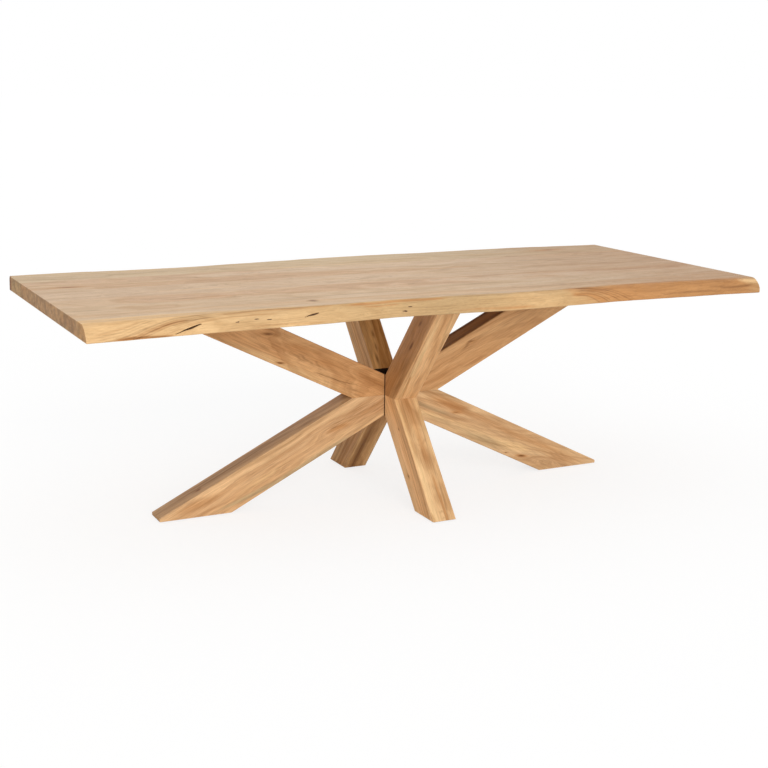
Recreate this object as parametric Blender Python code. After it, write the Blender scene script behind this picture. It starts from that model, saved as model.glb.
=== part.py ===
"""Live-edge dining table: a glued-up plank top on a base of four V units round a steel hub.

Metres, +Z up. The origin lies on the floor under the middle of the overall box. +X runs along
the table and -Y is the side with the deeper live edge. Each V unit is a leg and an arm that
meet in a level mitre, and both are screwed to one side of the square hub tube.
"""
import math
from collections import namedtuple

import bmesh
import bpy
import numpy as np
from mathutils import Matrix, Vector

# Clearance between pieces that touch, and how far a cutter runs past the face it opens
GAP = 0.0003
OVERCUT = 0.004

# Top: its width runs to the widest point of each live edge. The first seam lies in front of the
# middle, and the two live-edge boards take what the inner boards leave.
TABLE_HEIGHT = 0.760
TOP_LENGTH = 2.400
TOP_WIDTH = 1.050
TOP_THICKNESS = 0.050
FRONT_SEAM = 0.350
INNER_BOARDS = (0.130, 0.130, 0.185, 0.095, 0.115)
BOARD_NAMES = ("front", "2", "3", "centre", "5", "6", "back")
END_EASE = 0.002

# Live edges: how far each dips in from its widest line, at even steps from -X to +X, and the
# wane, which is how far the upper arris stands back from the lower one
FRONT_DIPS = (0.000, 0.011, 0.020, 0.025, 0.033, 0.045, 0.033, 0.018, 0.024, 0.032, 0.027, 0.018, 0.003)
FRONT_WANES = (0.055, 0.042, 0.047, 0.046, 0.036, 0.038, 0.040, 0.041, 0.042, 0.042, 0.034, 0.030, 0.045)
BACK_DIPS = (0.042, 0.037, 0.054, 0.057, 0.039, 0.022, 0.004, 0.000, 0.009, 0.004, 0.003, 0.021, 0.037)
BACK_WANE = 0.010
EDGE_FOOT = 0.010
EDGE_POWER = 1.7
EDGE_STEPS = 2
CURVE_STEPS = 5

# Loose tongues in the glue lines of the top, which stop short of its ends
TONGUE_WIDTH = 0.030
TONGUE_THICKNESS = 0.008
TONGUE_STOP = 0.060

# Base: its upright axis lies under the middle of the square ends, behind which the back bulges.
# The top overhangs the long units' feet at both ends. Each beam ends in a short upright nose, so
# that no thin edge stands at its toe.
BASE_OFFSET = -0.020
BEAM_WIDTH = 0.086
ARRIS_EASE = 0.003
ARRIS_SEGMENTS = 2
ARRIS_ROUND = 0.5
END_OVERHANG = 0.339
LONG_NOTCH = 0.168
LONG_NOSE = 0.014
SHORT_REACH = 0.413
SHORT_NOTCH = 0.119
SHORT_NOSE = 0.004

# Hub tube and the coach screws that hold the V units to it
TUBE_SIZE = 0.090
TUBE_WALL = 0.004
TUBE_CORNER = 0.006
TUBE_CORNER_STEPS = 3
HUB_HALF_HEIGHT = 0.074
HUB_SCREW_RADIUS = 0.005
HUB_SCREW_RISE = 0.038
HUB_SCREW_LENGTH = 0.056

# Loose tenon across each mitre
TENON_HEIGHT = 0.050
TENON_WIDTH = 0.044
TENON_THICKNESS = 0.014
TENON_SETBACK = 0.035

# Steel plates let into the arms, with a tab that carries the top
PLATE_THICKNESS = 0.005
PLATE_WIDTH = 0.066
PLATE_SETBACK = 0.020
TAB_MARGIN = 0.008
PLATE_SCREW_SHARES = (0.20, 0.60)
PLATE_SCREW_RADIUS = 0.003
PLATE_SCREW_HEAD = 0.006
PLATE_SCREW_LENGTH = 0.036

# Coach screws from the tabs into the top, in slots that let the top shrink and swell
TOP_SCREW_RADIUS = 0.004
TOP_SCREW_SPREAD = 0.038
TOP_SCREW_LENGTH = 0.042
SPANNER_ROOM = 0.008
SLOT_TRAVEL = 0.008

# Coach screw heads, as multiples of the screw's radius
HEAD_ACROSS = 1.8
HEAD_HEIGHT = 1.3
FLANGE_ACROSS = 2.4
FLANGE_HEIGHT = 0.35
POINT_LENGTH = 1.6
POINT_RADIUS = 0.25

# Felt pads under the feet
PAD_THICKNESS = 0.003
PAD_MARGIN = 0.010

# Sides of round pieces
SCREW_SIDES = 12

# Levels and radii that follow from the sizes above
FRONT_BOARD = TOP_WIDTH / 2 - FRONT_SEAM
BACK_BOARD = TOP_WIDTH - FRONT_BOARD - sum(INNER_BOARDS)
BOARD_WIDTHS = (FRONT_BOARD, *INNER_BOARDS, BACK_BOARD)
UNDERSIDE = TABLE_HEIGHT - TOP_THICKNESS
MIDDLE = UNDERSIDE / 2
LONG_REACH = TOP_LENGTH / 2 - END_OVERHANG
SEAT_RISE = UNDERSIDE - GAP - MIDDLE
FOOT_RISE = MIDDLE - PAD_THICKNESS - GAP
TUBE_INSIDE = TUBE_SIZE / 2 - TUBE_WALL
HUB_FACE = TUBE_SIZE / 2 + GAP
PLATE_BOTTOM = UNDERSIDE - GAP - PLATE_THICKNESS

Unit = namedtuple("Unit", "name turn notch reach nose slots_along_arm")
UNITS = (
    Unit("right", 0.0, LONG_NOTCH, LONG_REACH, LONG_NOSE, False),
    Unit("back", math.pi / 2, SHORT_NOTCH, SHORT_REACH, SHORT_NOSE, True),
    Unit("left", math.pi, LONG_NOTCH, LONG_REACH, LONG_NOSE, False),
    Unit("front", -math.pi / 2, SHORT_NOTCH, SHORT_REACH, SHORT_NOSE, True),
)

Finish = namedtuple("Finish", "colour roughness metallic")
TOP_WOODS = (
    Finish((0.66, 0.46, 0.27), 0.55, 0.0),
    Finish((0.62, 0.44, 0.29), 0.55, 0.0),
    Finish((0.60, 0.43, 0.28), 0.55, 0.0),
    Finish((0.63, 0.45, 0.30), 0.55, 0.0),
    Finish((0.59, 0.42, 0.28), 0.55, 0.0),
    Finish((0.62, 0.46, 0.30), 0.55, 0.0),
    Finish((0.58, 0.46, 0.29), 0.55, 0.0),
)
ARM_WOOD = Finish((0.46, 0.23, 0.10), 0.60, 0.0)
LEG_WOOD = Finish((0.56, 0.31, 0.14), 0.60, 0.0)
JOINT_WOOD = Finish((0.70, 0.55, 0.36), 0.70, 0.0)
BLACK_STEEL = Finish((0.012, 0.012, 0.013), 0.45, 0.0)
ZINC_STEEL = Finish((0.60, 0.60, 0.58), 0.35, 1.0)
BROWN_FELT = Finish((0.09, 0.06, 0.04), 0.95, 0.0)


def clear_scene():
    """Empty the scene, so that the model always starts from nothing."""
    for old in list(bpy.data.objects):
        bpy.data.objects.remove(old, do_unlink=True)


def paint(piece, finish):
    """Give a piece a material of its own."""
    material = bpy.data.materials.new(piece.name)
    material.use_nodes = True
    shader = material.node_tree.nodes["Principled BSDF"]
    shader.inputs["Base Color"].default_value = (*finish.colour, 1.0)
    shader.inputs["Roughness"].default_value = finish.roughness
    shader.inputs["Metallic"].default_value = finish.metallic
    piece.data.materials.append(material)


def add_object(name, bm, place=None, smooth=False):
    """Turn a bmesh into an object with outward faces, set at its place in the table."""
    bmesh.ops.recalc_face_normals(bm, faces=bm.faces)
    mesh = bpy.data.meshes.new(name)
    bm.to_mesh(mesh)
    bm.free()
    if smooth:
        mesh.shade_smooth()
        mesh.set_sharp_from_angle(angle=math.radians(40))
    piece = bpy.data.objects.new(name, mesh)
    bpy.context.scene.collection.objects.link(piece)
    if place is not None:
        piece.matrix_world = place
    return piece


def add_piece(name, bm, finish, place=None, smooth=False):
    """Make one sub-part of the table."""
    piece = add_object(name, bm, place, smooth)
    paint(piece, finish)
    return piece


def cut(piece, bm, place=None):
    """Take the bodies in a bmesh away from a piece."""
    cutter = add_object(piece.name + "_cutter", bm, place)
    cutter.hide_render = True
    cutter.display_type = "WIRE"
    bores = piece.modifiers.new("bores", "BOOLEAN")
    bores.operation = "DIFFERENCE"
    bores.object = cutter


def unit_place(unit):
    """The frame of one V unit: +X runs out from the hub along the unit, +Z up."""
    return Matrix.Translation((0.0, BASE_OFFSET, 0.0)) @ Matrix.Rotation(unit.turn, 4, "Z")


def add_loft(bm, rings, ends_meet=False):
    """Join a row of like rings of points into one closed body, capped at both ends."""
    loops = [[bm.verts.new(point) for point in ring] for ring in rings]
    pairs = list(zip(loops, loops[1:]))
    if ends_meet:
        pairs.append((loops[-1], loops[0]))
    else:
        bm.faces.new(loops[0])
        bm.faces.new(loops[-1])
    for low, high in pairs:
        for k in range(len(low)):
            after = (k + 1) % len(low)
            bm.faces.new((low[k], low[after], high[after], high[k]))


def turned_ring(radius, height, hexagonal=False):
    """Points round the Z axis, on a circle or on a hexagon's outline."""
    ring = []
    for k in range(SCREW_SIDES):
        angle = 2 * math.pi * k / SCREW_SIDES
        flat = math.cos(math.pi / 6) if hexagonal and k % 2 else 1.0
        ring.append((radius * flat * math.cos(angle), radius * flat * math.sin(angle), height))
    return ring


def add_turned(bm, rings, place):
    """Add a body turned round its own axis, set at its place."""
    add_loft(bm, [[place @ Vector(point) for point in ring] for ring in rings])


def add_rod(bm, radius, low, high, place):
    """Add a plain rod along the Z axis of its place."""
    add_turned(bm, (turned_ring(radius, low), turned_ring(radius, high)), place)


def coach_screw_rings(radius, length):
    """A hexagon head with a flange below zero, and a shank that runs up to a blunt point."""
    head = radius * HEAD_ACROSS
    flange = radius * FLANGE_ACROSS
    neck = -radius * FLANGE_HEIGHT
    return (
        turned_ring(head, neck - radius * HEAD_HEIGHT, hexagonal=True),
        turned_ring(head, neck, hexagonal=True),
        turned_ring(flange, neck),
        turned_ring(flange, 0.0),
        turned_ring(radius, 0.0),
        turned_ring(radius, length - radius * POINT_LENGTH),
        turned_ring(radius * POINT_RADIUS, length),
    )


def coach_screw_bore(radius, length):
    """The hole that clears a coach screw's shank, from below its flange."""
    wide = radius + GAP
    return (
        turned_ring(wide, -OVERCUT),
        turned_ring(wide, length - radius * POINT_LENGTH + GAP),
        turned_ring(radius * POINT_RADIUS + GAP, length + GAP),
    )


def add_box(bm, low, high):
    """Add a box between two corners."""
    corners = [(low[0], low[1]), (high[0], low[1]), (high[0], high[1]), (low[0], high[1])]
    add_loft(bm, [[(x, y, z) for x, y in corners] for z in (low[2], high[2])])


def smooth_through(heights, places):
    """A smooth curve through evenly spaced heights, whose highs and lows fall on them.

    Each stretch is a cubic. Its end slopes are the harmonic mean of the steps on either side,
    and level where the steps change sign.
    """
    heights = np.asarray(heights)
    steps = np.diff(heights)
    slopes = np.concatenate(([steps[0]], np.zeros(len(steps) - 1), [steps[-1]]))
    before, after = steps[:-1], steps[1:]
    runs_on = before * after > 0
    slopes[1:-1][runs_on] = (2 * before * after)[runs_on] / (before + after)[runs_on]
    k = np.minimum(places.astype(int), len(steps) - 1)
    t = places - k
    level = heights[k] + steps[k] * t * t * (3 - 2 * t)
    return level + t * (1 - t) * (slopes[k] * (1 - t) - slopes[k + 1] * t)


def live_section(widest, inward, dip, wane, seam):
    """Points round a live-edge board's end: the seam side is square, the other side rounds over.

    The outer side rises from a short upright foot and rolls in by the wane on a superellipse.
    """
    lower = widest + inward * dip
    foot = UNDERSIDE + EDGE_FOOT
    section = [(seam, UNDERSIDE), (lower + inward * END_EASE, UNDERSIDE), (lower, UNDERSIDE + END_EASE)]
    for k in range(CURVE_STEPS + 1):
        angle = math.pi / 2 * k / CURVE_STEPS
        over = 1 - math.cos(angle) ** (2 / EDGE_POWER)
        up = math.sin(angle) ** (2 / EDGE_POWER)
        section.append((lower + inward * wane * over, foot + (TABLE_HEIGHT - foot) * up))
    section.append((seam, TABLE_HEIGHT))
    return section


def end_eased(places, sections):
    """Carry sections along X, with the upper and lower arrises of both ends taken off."""
    rings = []
    for x, section in zip(places, sections):
        rings.append([(x, y, z) for y, z in section])
    for x, section in ((-TOP_LENGTH / 2, sections[0]), (TOP_LENGTH / 2, sections[-1])):
        lowest, highest = UNDERSIDE + END_EASE, TABLE_HEIGHT - END_EASE
        ring = [(x, y, min(max(z, lowest), highest)) for y, z in section]
        rings.insert(0 if x < 0 else len(rings), ring)
    return rings


def seam_lines():
    """Where the boards' sides lie across the table, from the front's widest line to the back's."""
    return np.concatenate(([0.0], np.cumsum(BOARD_WIDTHS))) - TOP_WIDTH / 2


def top_screw_line(unit):
    """How far out the top's screws stand: far enough in for their heads to clear the arm."""
    inner, _ = arm_seat(unit)
    head = TOP_SCREW_RADIUS * (HEAD_HEIGHT + FLANGE_HEIGHT)
    hangs = PLATE_THICKNESS + GAP + head
    return inner - hangs / slope(unit) - TOP_SCREW_RADIUS * FLANGE_ACROSS - SPANNER_ROOM


def top_screw_spots(unit):
    """Frames of the two screws that hold the top to one tab: under the tab, pointing up."""
    out = top_screw_line(unit)
    under = PLATE_BOTTOM - GAP
    return [Matrix.Translation((out, side * TOP_SCREW_SPREAD, under)) for side in (-0.5, 0.5)]


def add_tongue(bm, seam, clearance):
    """Add the loose tongue of one glue line, or with a clearance the groove that holds it."""
    long = TOP_LENGTH / 2 - TONGUE_STOP + clearance
    wide = TONGUE_WIDTH / 2 + clearance
    high = TONGUE_THICKNESS / 2 + clearance
    level = UNDERSIDE + TOP_THICKNESS / 2
    add_box(bm, (-long, seam - wide, level - high), (long, seam + wide, level + high))


def top_cuts(seams):
    """Bodies of all that is cut from the boards: grooves for tongues and holes for screws."""
    bm = bmesh.new()
    for seam in seams:
        add_tongue(bm, seam, GAP)
    for unit in UNITS:
        for spot in top_screw_spots(unit):
            add_turned(bm, coach_screw_bore(TOP_SCREW_RADIUS, TOP_SCREW_LENGTH), unit_place(unit) @ spot)
    return bm


def build_top():
    """The boards of the top and the tongues in their glue lines."""
    lines = seam_lines()
    steps = np.linspace(0, len(FRONT_DIPS) - 1, (len(FRONT_DIPS) - 1) * EDGE_STEPS + 1)
    along = np.linspace(END_EASE - TOP_LENGTH / 2, TOP_LENGTH / 2 - END_EASE, len(steps))
    front_dips = smooth_through(FRONT_DIPS, steps)
    front_wanes = smooth_through(FRONT_WANES, steps)
    back_dips = smooth_through(BACK_DIPS, steps)
    for k, name in enumerate(BOARD_NAMES):
        low, high = lines[k] + GAP / 2, lines[k + 1] - GAP / 2
        if name == BOARD_NAMES[0]:
            sections = [live_section(lines[0], 1, d, w, high) for d, w in zip(front_dips, front_wanes)]
            places = along
        elif name == BOARD_NAMES[-1]:
            sections = [live_section(lines[-1], -1, d, BACK_WANE, low) for d in back_dips]
            places = along
        else:
            corners = [(low, UNDERSIDE), (high, UNDERSIDE), (high, TABLE_HEIGHT), (low, TABLE_HEIGHT)]
            sections = [corners, corners]
            places = along[[0, -1]]
        bm = bmesh.new()
        add_loft(bm, end_eased(places, sections))
        board = add_piece("top_board_" + name, bm, TOP_WOODS[k])
        cut(board, top_cuts(lines[1:-1]))
    for k, seam in enumerate(lines[1:-1]):
        bm = bmesh.new()
        add_tongue(bm, seam, 0.0)
        add_piece("tongue_%d" % (k + 1), bm, JOINT_WOOD)


def slope(unit):
    """Rise of a unit's beams for each metre that they reach out, from the notch to the nose."""
    return (MIDDLE - unit.nose) / (unit.reach - unit.notch)


def beam_ends(unit, rise):
    """How far out the inner and outer faces of a beam lie, at a height from the middle plane."""
    inner = HUB_FACE + (rise - HUB_HALF_HEIGHT) / slope(unit)
    outer = min(unit.reach, unit.notch + rise / slope(unit))
    return inner, outer


def arm_seat(unit):
    """How far out an arm's flat upper end starts and stops."""
    return beam_ends(unit, SEAT_RISE)


def add_beam(bm, unit, rise, up):
    """Add a leg or an arm: a straight beam with a level mitre, a level end, a nose and a hub face.

    The outline stands in the XZ plane of the unit and is carried across the beam's width. Its
    four long arrises are eased.
    """
    inner, outer = beam_ends(unit, rise)
    mitre = GAP / 2
    outline = (
        (HUB_FACE, mitre),
        (beam_ends(unit, mitre)[1], mitre),
        (unit.reach, MIDDLE - unit.nose),
        (outer, rise),
        (inner, rise),
        (HUB_FACE, HUB_HALF_HEIGHT),
    )
    sides = (-BEAM_WIDTH / 2, BEAM_WIDTH / 2)
    add_loft(bm, [[(r, w, MIDDLE + up * z) for r, z in outline] for w in sides])
    bmesh.ops.recalc_face_normals(bm, faces=bm.faces)
    long_edges = []
    for edge in bm.edges:
        run = edge.verts[1].co - edge.verts[0].co
        if abs(run.y) < GAP and abs(abs(run.z) - slope(unit) * abs(run.x)) < GAP:
            long_edges.append(edge)
    bmesh.ops.bevel(
        bm, geom=long_edges, offset=ARRIS_EASE, segments=ARRIS_SEGMENTS, profile=ARRIS_ROUND, affect="EDGES"
    )


def slot_outline(travel, radius, along_arm):
    """Points round a slot: two half circles set apart by its travel."""
    outline = []
    for end, start in ((travel / 2, -math.pi / 2), (-travel / 2, math.pi / 2)):
        for k in range(SCREW_SIDES // 2 + 1):
            angle = start + 2 * math.pi * k / SCREW_SIDES
            run = end + radius * math.cos(angle)
            across = radius * math.sin(angle)
            outline.append((run, across) if along_arm else (-across, run))
    return outline


def add_tenon(bm, unit, clearance):
    """Add the loose tenon of one mitre, or with a clearance the mortise that holds it."""
    out = unit.notch - TENON_SETBACK
    thick = TENON_THICKNESS / 2 + clearance
    high = TENON_HEIGHT / 2 + clearance
    outline = slot_outline(TENON_WIDTH - TENON_THICKNESS, thick, True)
    add_loft(bm, [[(out + a, b, level) for a, b in outline] for level in (MIDDLE - high, MIDDLE + high)])


def hub_screw_spot(up):
    """A hub screw's frame in the unit's frame: on the tube's inner wall, pointing out."""
    inside = Matrix.Translation((TUBE_INSIDE - GAP, 0.0, MIDDLE + up * HUB_SCREW_RISE))
    return inside @ Matrix.Rotation(math.pi / 2, 4, "Y")


def plate_spots(unit):
    """A plate's inner and outer ends, and the frames of its screws, in the unit's frame."""
    inner, outer = arm_seat(unit)
    high = outer - PLATE_SETBACK
    screws = []
    for share in PLATE_SCREW_SHARES:
        screws.append(Matrix.Translation((inner + share * (high - inner), 0.0, UNDERSIDE - GAP)))
    low = top_screw_line(unit) - TOP_SCREW_RADIUS * FLANGE_ACROSS - TAB_MARGIN
    return low, high, screws


def plate_screw_rings(clearance):
    """A countersunk screw, or the hole that clears it, from its head at zero down to its point."""
    cone = PLATE_SCREW_HEAD - PLATE_SCREW_RADIUS
    point = PLATE_SCREW_RADIUS * POINT_LENGTH
    return (
        turned_ring(PLATE_SCREW_HEAD + clearance, 0.0),
        turned_ring(PLATE_SCREW_RADIUS + clearance, -cone),
        turned_ring(PLATE_SCREW_RADIUS + clearance, point - PLATE_SCREW_LENGTH),
        turned_ring(PLATE_SCREW_RADIUS * POINT_RADIUS + clearance, -PLATE_SCREW_LENGTH - clearance),
    )


def beam_cuts(unit, up):
    """Bodies of what is cut from a leg and an arm alike: the mortise and the hub screw's hole."""
    bm = bmesh.new()
    add_tenon(bm, unit, GAP)
    add_turned(bm, coach_screw_bore(HUB_SCREW_RADIUS, HUB_SCREW_LENGTH), hub_screw_spot(up))
    return bm


def build_leg(unit):
    """One leg and the felt pad under its foot."""
    place = unit_place(unit)
    bm = bmesh.new()
    add_beam(bm, unit, FOOT_RISE, -1)
    leg = add_piece("leg_" + unit.name, bm, LEG_WOOD, place)
    cut(leg, beam_cuts(unit, -1), place)
    inner, outer = beam_ends(unit, FOOT_RISE)
    half = BEAM_WIDTH / 2 - PAD_MARGIN
    bm = bmesh.new()
    add_box(bm, (inner + PAD_MARGIN, -half, 0.0), (outer - PAD_MARGIN, half, PAD_THICKNESS))
    add_piece("foot_pad_" + unit.name, bm, BROWN_FELT, place)


def build_arm(unit):
    """One arm with the pocket for its plate."""
    place = unit_place(unit)
    bm = bmesh.new()
    add_beam(bm, unit, SEAT_RISE, 1)
    arm = add_piece("arm_" + unit.name, bm, ARM_WOOD, place)
    cut(arm, beam_cuts(unit, 1), place)
    low, high, screws = plate_spots(unit)
    half = PLATE_WIDTH / 2 + GAP
    pocket = bmesh.new()
    add_box(pocket, (low - OVERCUT, -half, PLATE_BOTTOM - GAP), (high + GAP, half, UNDERSIDE + OVERCUT))
    cut(arm, pocket, place)
    pilots = bmesh.new()
    for spot in screws:
        add_turned(pilots, plate_screw_rings(GAP), spot)
    cut(arm, pilots, place)


def build_plate(unit):
    """One steel plate with countersunk holes and two slots in its tab, and its two screws."""
    place = unit_place(unit)
    low, high, screws = plate_spots(unit)
    bm = bmesh.new()
    add_box(bm, (low, -PLATE_WIDTH / 2, PLATE_BOTTOM), (high, PLATE_WIDTH / 2, UNDERSIDE - GAP))
    plate = add_piece("arm_plate_" + unit.name, bm, BLACK_STEEL, place)
    holes = bmesh.new()
    mouth = turned_ring(PLATE_SCREW_HEAD + GAP, OVERCUT)
    for spot in screws:
        add_turned(holes, (mouth,) + plate_screw_rings(GAP), spot)
    outline = slot_outline(SLOT_TRAVEL, TOP_SCREW_RADIUS + GAP, unit.slots_along_arm)
    for spot in top_screw_spots(unit):
        r, w, _ = spot.to_translation()
        levels = (PLATE_BOTTOM - OVERCUT, UNDERSIDE + OVERCUT)
        add_loft(holes, [[(r + a, w + b, level) for a, b in outline] for level in levels])
    cut(plate, holes, place)
    for k, spot in enumerate(screws):
        bm = bmesh.new()
        add_turned(bm, plate_screw_rings(0.0), spot)
        add_piece("plate_screw_%s_%d" % (unit.name, k + 1), bm, ZINC_STEEL, place, smooth=True)


def build_coach_screws(unit):
    """The screws that hold one unit to the hub and to the top."""
    place = unit_place(unit)
    for beam, up in (("leg", -1), ("arm", 1)):
        bm = bmesh.new()
        add_turned(bm, coach_screw_rings(HUB_SCREW_RADIUS, HUB_SCREW_LENGTH), hub_screw_spot(up))
        add_piece("hub_screw_%s_%s" % (unit.name, beam), bm, ZINC_STEEL, place, smooth=True)
    for k, spot in enumerate(top_screw_spots(unit)):
        bm = bmesh.new()
        add_turned(bm, coach_screw_rings(TOP_SCREW_RADIUS, TOP_SCREW_LENGTH), spot)
        add_piece("top_screw_%s_%d" % (unit.name, k + 1), bm, ZINC_STEEL, place, smooth=True)


def build_tenon(unit):
    """The loose tenon that holds a leg and an arm together."""
    bm = bmesh.new()
    add_tenon(bm, unit, 0.0)
    add_piece("tenon_" + unit.name, bm, JOINT_WOOD, unit_place(unit))


def rounded_square(half, corner, steps):
    """Points round a square with rounded corners, given half the width of its side."""
    outline = []
    for quarter in range(4):
        turn = math.pi / 2 * quarter
        centre = half - corner
        for k in range(steps + 1):
            angle = turn + math.pi / 2 * k / steps
            x = centre * (math.cos(turn) - math.sin(turn)) + corner * math.cos(angle)
            y = centre * (math.sin(turn) + math.cos(turn)) + corner * math.sin(angle)
            outline.append((x, y))
    return outline


def build_hub_tube():
    """The square tube that the four V units are screwed to, open at both ends."""
    low, high = MIDDLE - HUB_HALF_HEIGHT, MIDDLE + HUB_HALF_HEIGHT
    outer = rounded_square(TUBE_SIZE / 2, TUBE_CORNER, TUBE_CORNER_STEPS)
    inner = rounded_square(TUBE_INSIDE, TUBE_CORNER - TUBE_WALL, TUBE_CORNER_STEPS)
    walls = ((inner, low), (outer, low), (outer, high), (inner, high))
    bm = bmesh.new()
    add_loft(bm, [[(x, y, level) for x, y in line] for line, level in walls], ends_meet=True)
    place = Matrix.Translation((0.0, BASE_OFFSET, 0.0))
    tube = add_piece("hub_tube", bm, BLACK_STEEL, place)
    holes = bmesh.new()
    for unit in UNITS:
        for up in (-1, 1):
            spot = Matrix.Rotation(unit.turn, 4, "Z") @ hub_screw_spot(up)
            add_rod(holes, HUB_SCREW_RADIUS + GAP, -OVERCUT, TUBE_WALL + OVERCUT, spot)
    cut(tube, holes, place)


def main():
    """Build the whole table."""
    clear_scene()
    build_top()
    build_hub_tube()
    for unit in UNITS:
        build_leg(unit)
        build_arm(unit)
        build_tenon(unit)
        build_plate(unit)
        build_coach_screws(unit)


main()
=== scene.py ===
"""Looks of the live-edge dining table, built as a Blender add-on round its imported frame.

Metres, +Z up, in the part's own frame. Every wooden piece is a surface of stations and rings
made with numpy. Its vertices carry the timber's own directions, so that grain, growth rings,
knots and cracks run through the piece as they do in real wood.
"""

import math
from collections import namedtuple

import bpy
import numpy as np
from bpy.props import FloatProperty, FloatVectorProperty, PointerProperty
from bpy.types import Operator, Panel, PropertyGroup
from mathutils import Matrix, Vector


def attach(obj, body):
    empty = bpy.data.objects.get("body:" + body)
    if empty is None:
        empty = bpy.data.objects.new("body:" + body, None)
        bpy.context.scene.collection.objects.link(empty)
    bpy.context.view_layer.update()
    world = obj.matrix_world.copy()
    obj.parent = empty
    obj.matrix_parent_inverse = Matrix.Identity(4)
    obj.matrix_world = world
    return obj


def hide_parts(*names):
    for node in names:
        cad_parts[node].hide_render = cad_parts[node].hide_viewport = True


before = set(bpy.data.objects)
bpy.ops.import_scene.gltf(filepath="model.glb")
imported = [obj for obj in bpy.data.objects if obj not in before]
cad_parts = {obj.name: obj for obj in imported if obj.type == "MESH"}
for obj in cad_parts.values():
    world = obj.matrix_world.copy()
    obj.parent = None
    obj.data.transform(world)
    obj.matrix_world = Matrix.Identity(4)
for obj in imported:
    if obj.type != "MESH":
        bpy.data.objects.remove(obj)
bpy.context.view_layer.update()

bl_info = {
    "name": "Live-edge dining table",
    "version": (1, 0, 0),
    "blender": (4, 5, 0),
    "location": "View3D > Sidebar > Table",
    "description": "Builds the boards, legs, arms and finishes of a live-edge dining table",
    "category": "Object",
}

# The tables of cracks, veins, woods and marks hold their lengths in millimetres
MM = 0.001

# How far apart along the grain two pieces of timber lie, so that no two look alike
SEED_STEP = 7.3

# Sizes shared with the part
GAP = 0.0003
TABLE_HEIGHT = 0.760
TOP_LENGTH = 2.400
TOP_THICKNESS = 0.050
UNDERSIDE = TABLE_HEIGHT - TOP_THICKNESS
MIDDLE = UNDERSIDE / 2
BOARD_NAMES = ("front", "2", "3", "centre", "5", "6", "back")
BOARD_WIDTHS = (0.175, 0.130, 0.130, 0.185, 0.095, 0.115, 0.220)
SEAMS = np.concatenate(([0.0], np.cumsum(BOARD_WIDTHS))) - sum(BOARD_WIDTHS) / 2
FRONT_DIPS = (0.000, 0.011, 0.020, 0.025, 0.033, 0.045, 0.033, 0.018, 0.024, 0.032, 0.027, 0.018, 0.003)
FRONT_WANES = (0.055, 0.042, 0.047, 0.046, 0.036, 0.038, 0.040, 0.041, 0.042, 0.042, 0.034, 0.030, 0.045)
BACK_DIPS = (0.042, 0.037, 0.054, 0.057, 0.039, 0.022, 0.004, 0.000, 0.009, 0.004, 0.003, 0.021, 0.037)
BACK_WANES = (0.010,) * 13
BASE_OFFSET = -0.020
BEAM_WIDTH = 0.086
HUB_FACE = 0.0453
HUB_HALF_HEIGHT = 0.074
SEAT_RISE = MIDDLE - GAP
FOOT_RISE = MIDDLE - 0.003 - GAP

# How square each live edge stands, at the same even steps as the dips: 1 is a flat slant
FRONT_POWERS = (1.60, 1.45, 1.30, 1.25, 1.25, 1.30, 1.30, 1.30, 1.35, 1.40, 1.45, 1.60, 2.00)
BACK_POWERS = (1.8,) * 13

# The V units: name, turn about the hub, and the out-distance of the notch between leg and arm, of
# the toe and of its upright nose
Unit = namedtuple("Unit", "name turn notch reach nose")
UNITS = (
    Unit("right", 0.0, 0.168, 0.861, 0.014),
    Unit("back", math.pi / 2, 0.119, 0.413, 0.004),
    Unit("left", math.pi, 0.168, 0.861, 0.014),
    Unit("front", -math.pi / 2, 0.119, 0.413, 0.004),
)

# How finely a board is divided: across its faces, up the foot and up the curve of its live edge,
# and along it
Grid = namedtuple("Grid", "across foot curve along")
FRONT_GRID = Grid(18, 8, 40, 900)
BACK_GRID = Grid(28, 5, 22, 420)
INNER_GRID = Grid(26, 0, 0, 330)

# How finely a beam is divided: along it, round a corner, across its inner and outer faces, and along
# the three stretches of its sides
BEAM_STEP = 0.0035
CORNER_POINTS = 5
FACE_POINTS = 27
SIDE_POINTS = (17, 15, 5)

# Natural waves of a live edge: wavelength, how many are summed, and the seed of their directions.
# Each wave is between SHORTEST_WAVE and twice that share of its wavelength long.
Waves = namedtuple("Waves", "length count seed")
DIP_WAVES = Waves(0.110, 4, 21)
WANE_WAVES = Waves(0.080, 4, 31)
LUMP_WAVES = Waves(0.070, 5, 41)
SAP_WAVES = Waves(0.250, 4, 51)
SHORTEST_WAVE = 0.7

# Lumps of a live edge: the shares of their swell that its foot line and its arris take, the dip over
# which the foot line's share comes in, how much longer than high they are, and how full they stand
# between foot and arris
FOOT_LUMPS = 0.6
ARRIS_LUMPS = 0.8
FOOT_LUMPS_IN = (0.0, 0.004)
LUMP_STRETCH = 2.0
FULLNESS = 0.7

# Fine ridges of a live edge: how far apart they lie, how they climb along it, how that sways, and
# the waves and fade of the patches where they show
RIDGE_STEP = 0.011
RIDGE_CLIMB = 0.32
RIDGE_SWAY = (0.02, 3.1)
RIDGE_PATCHES = (5.3, 1.0)
RIDGE_FADE = (-0.2, 0.8)

# The flat top stops just short of the live edge's arris, so that no two points fall together
TOP_SHARE = 0.999

# Marks in the wood. Each is a soft blob in the timber's own directions: what it does, its place
# along, across and up, its half-lengths in those directions, and its strength. A warp bends the
# rings, and its strength is how far, in metres.
Mark = namedtuple("Mark", "kind place reach strength")
# A tone mark makes a place lighter or darker. Some are lighter or darker wood, and some are painted light
# or shade, as noted where they stand.
KINDS = ("dark", "pale", "red", "olive", "warp", "tone")

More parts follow.
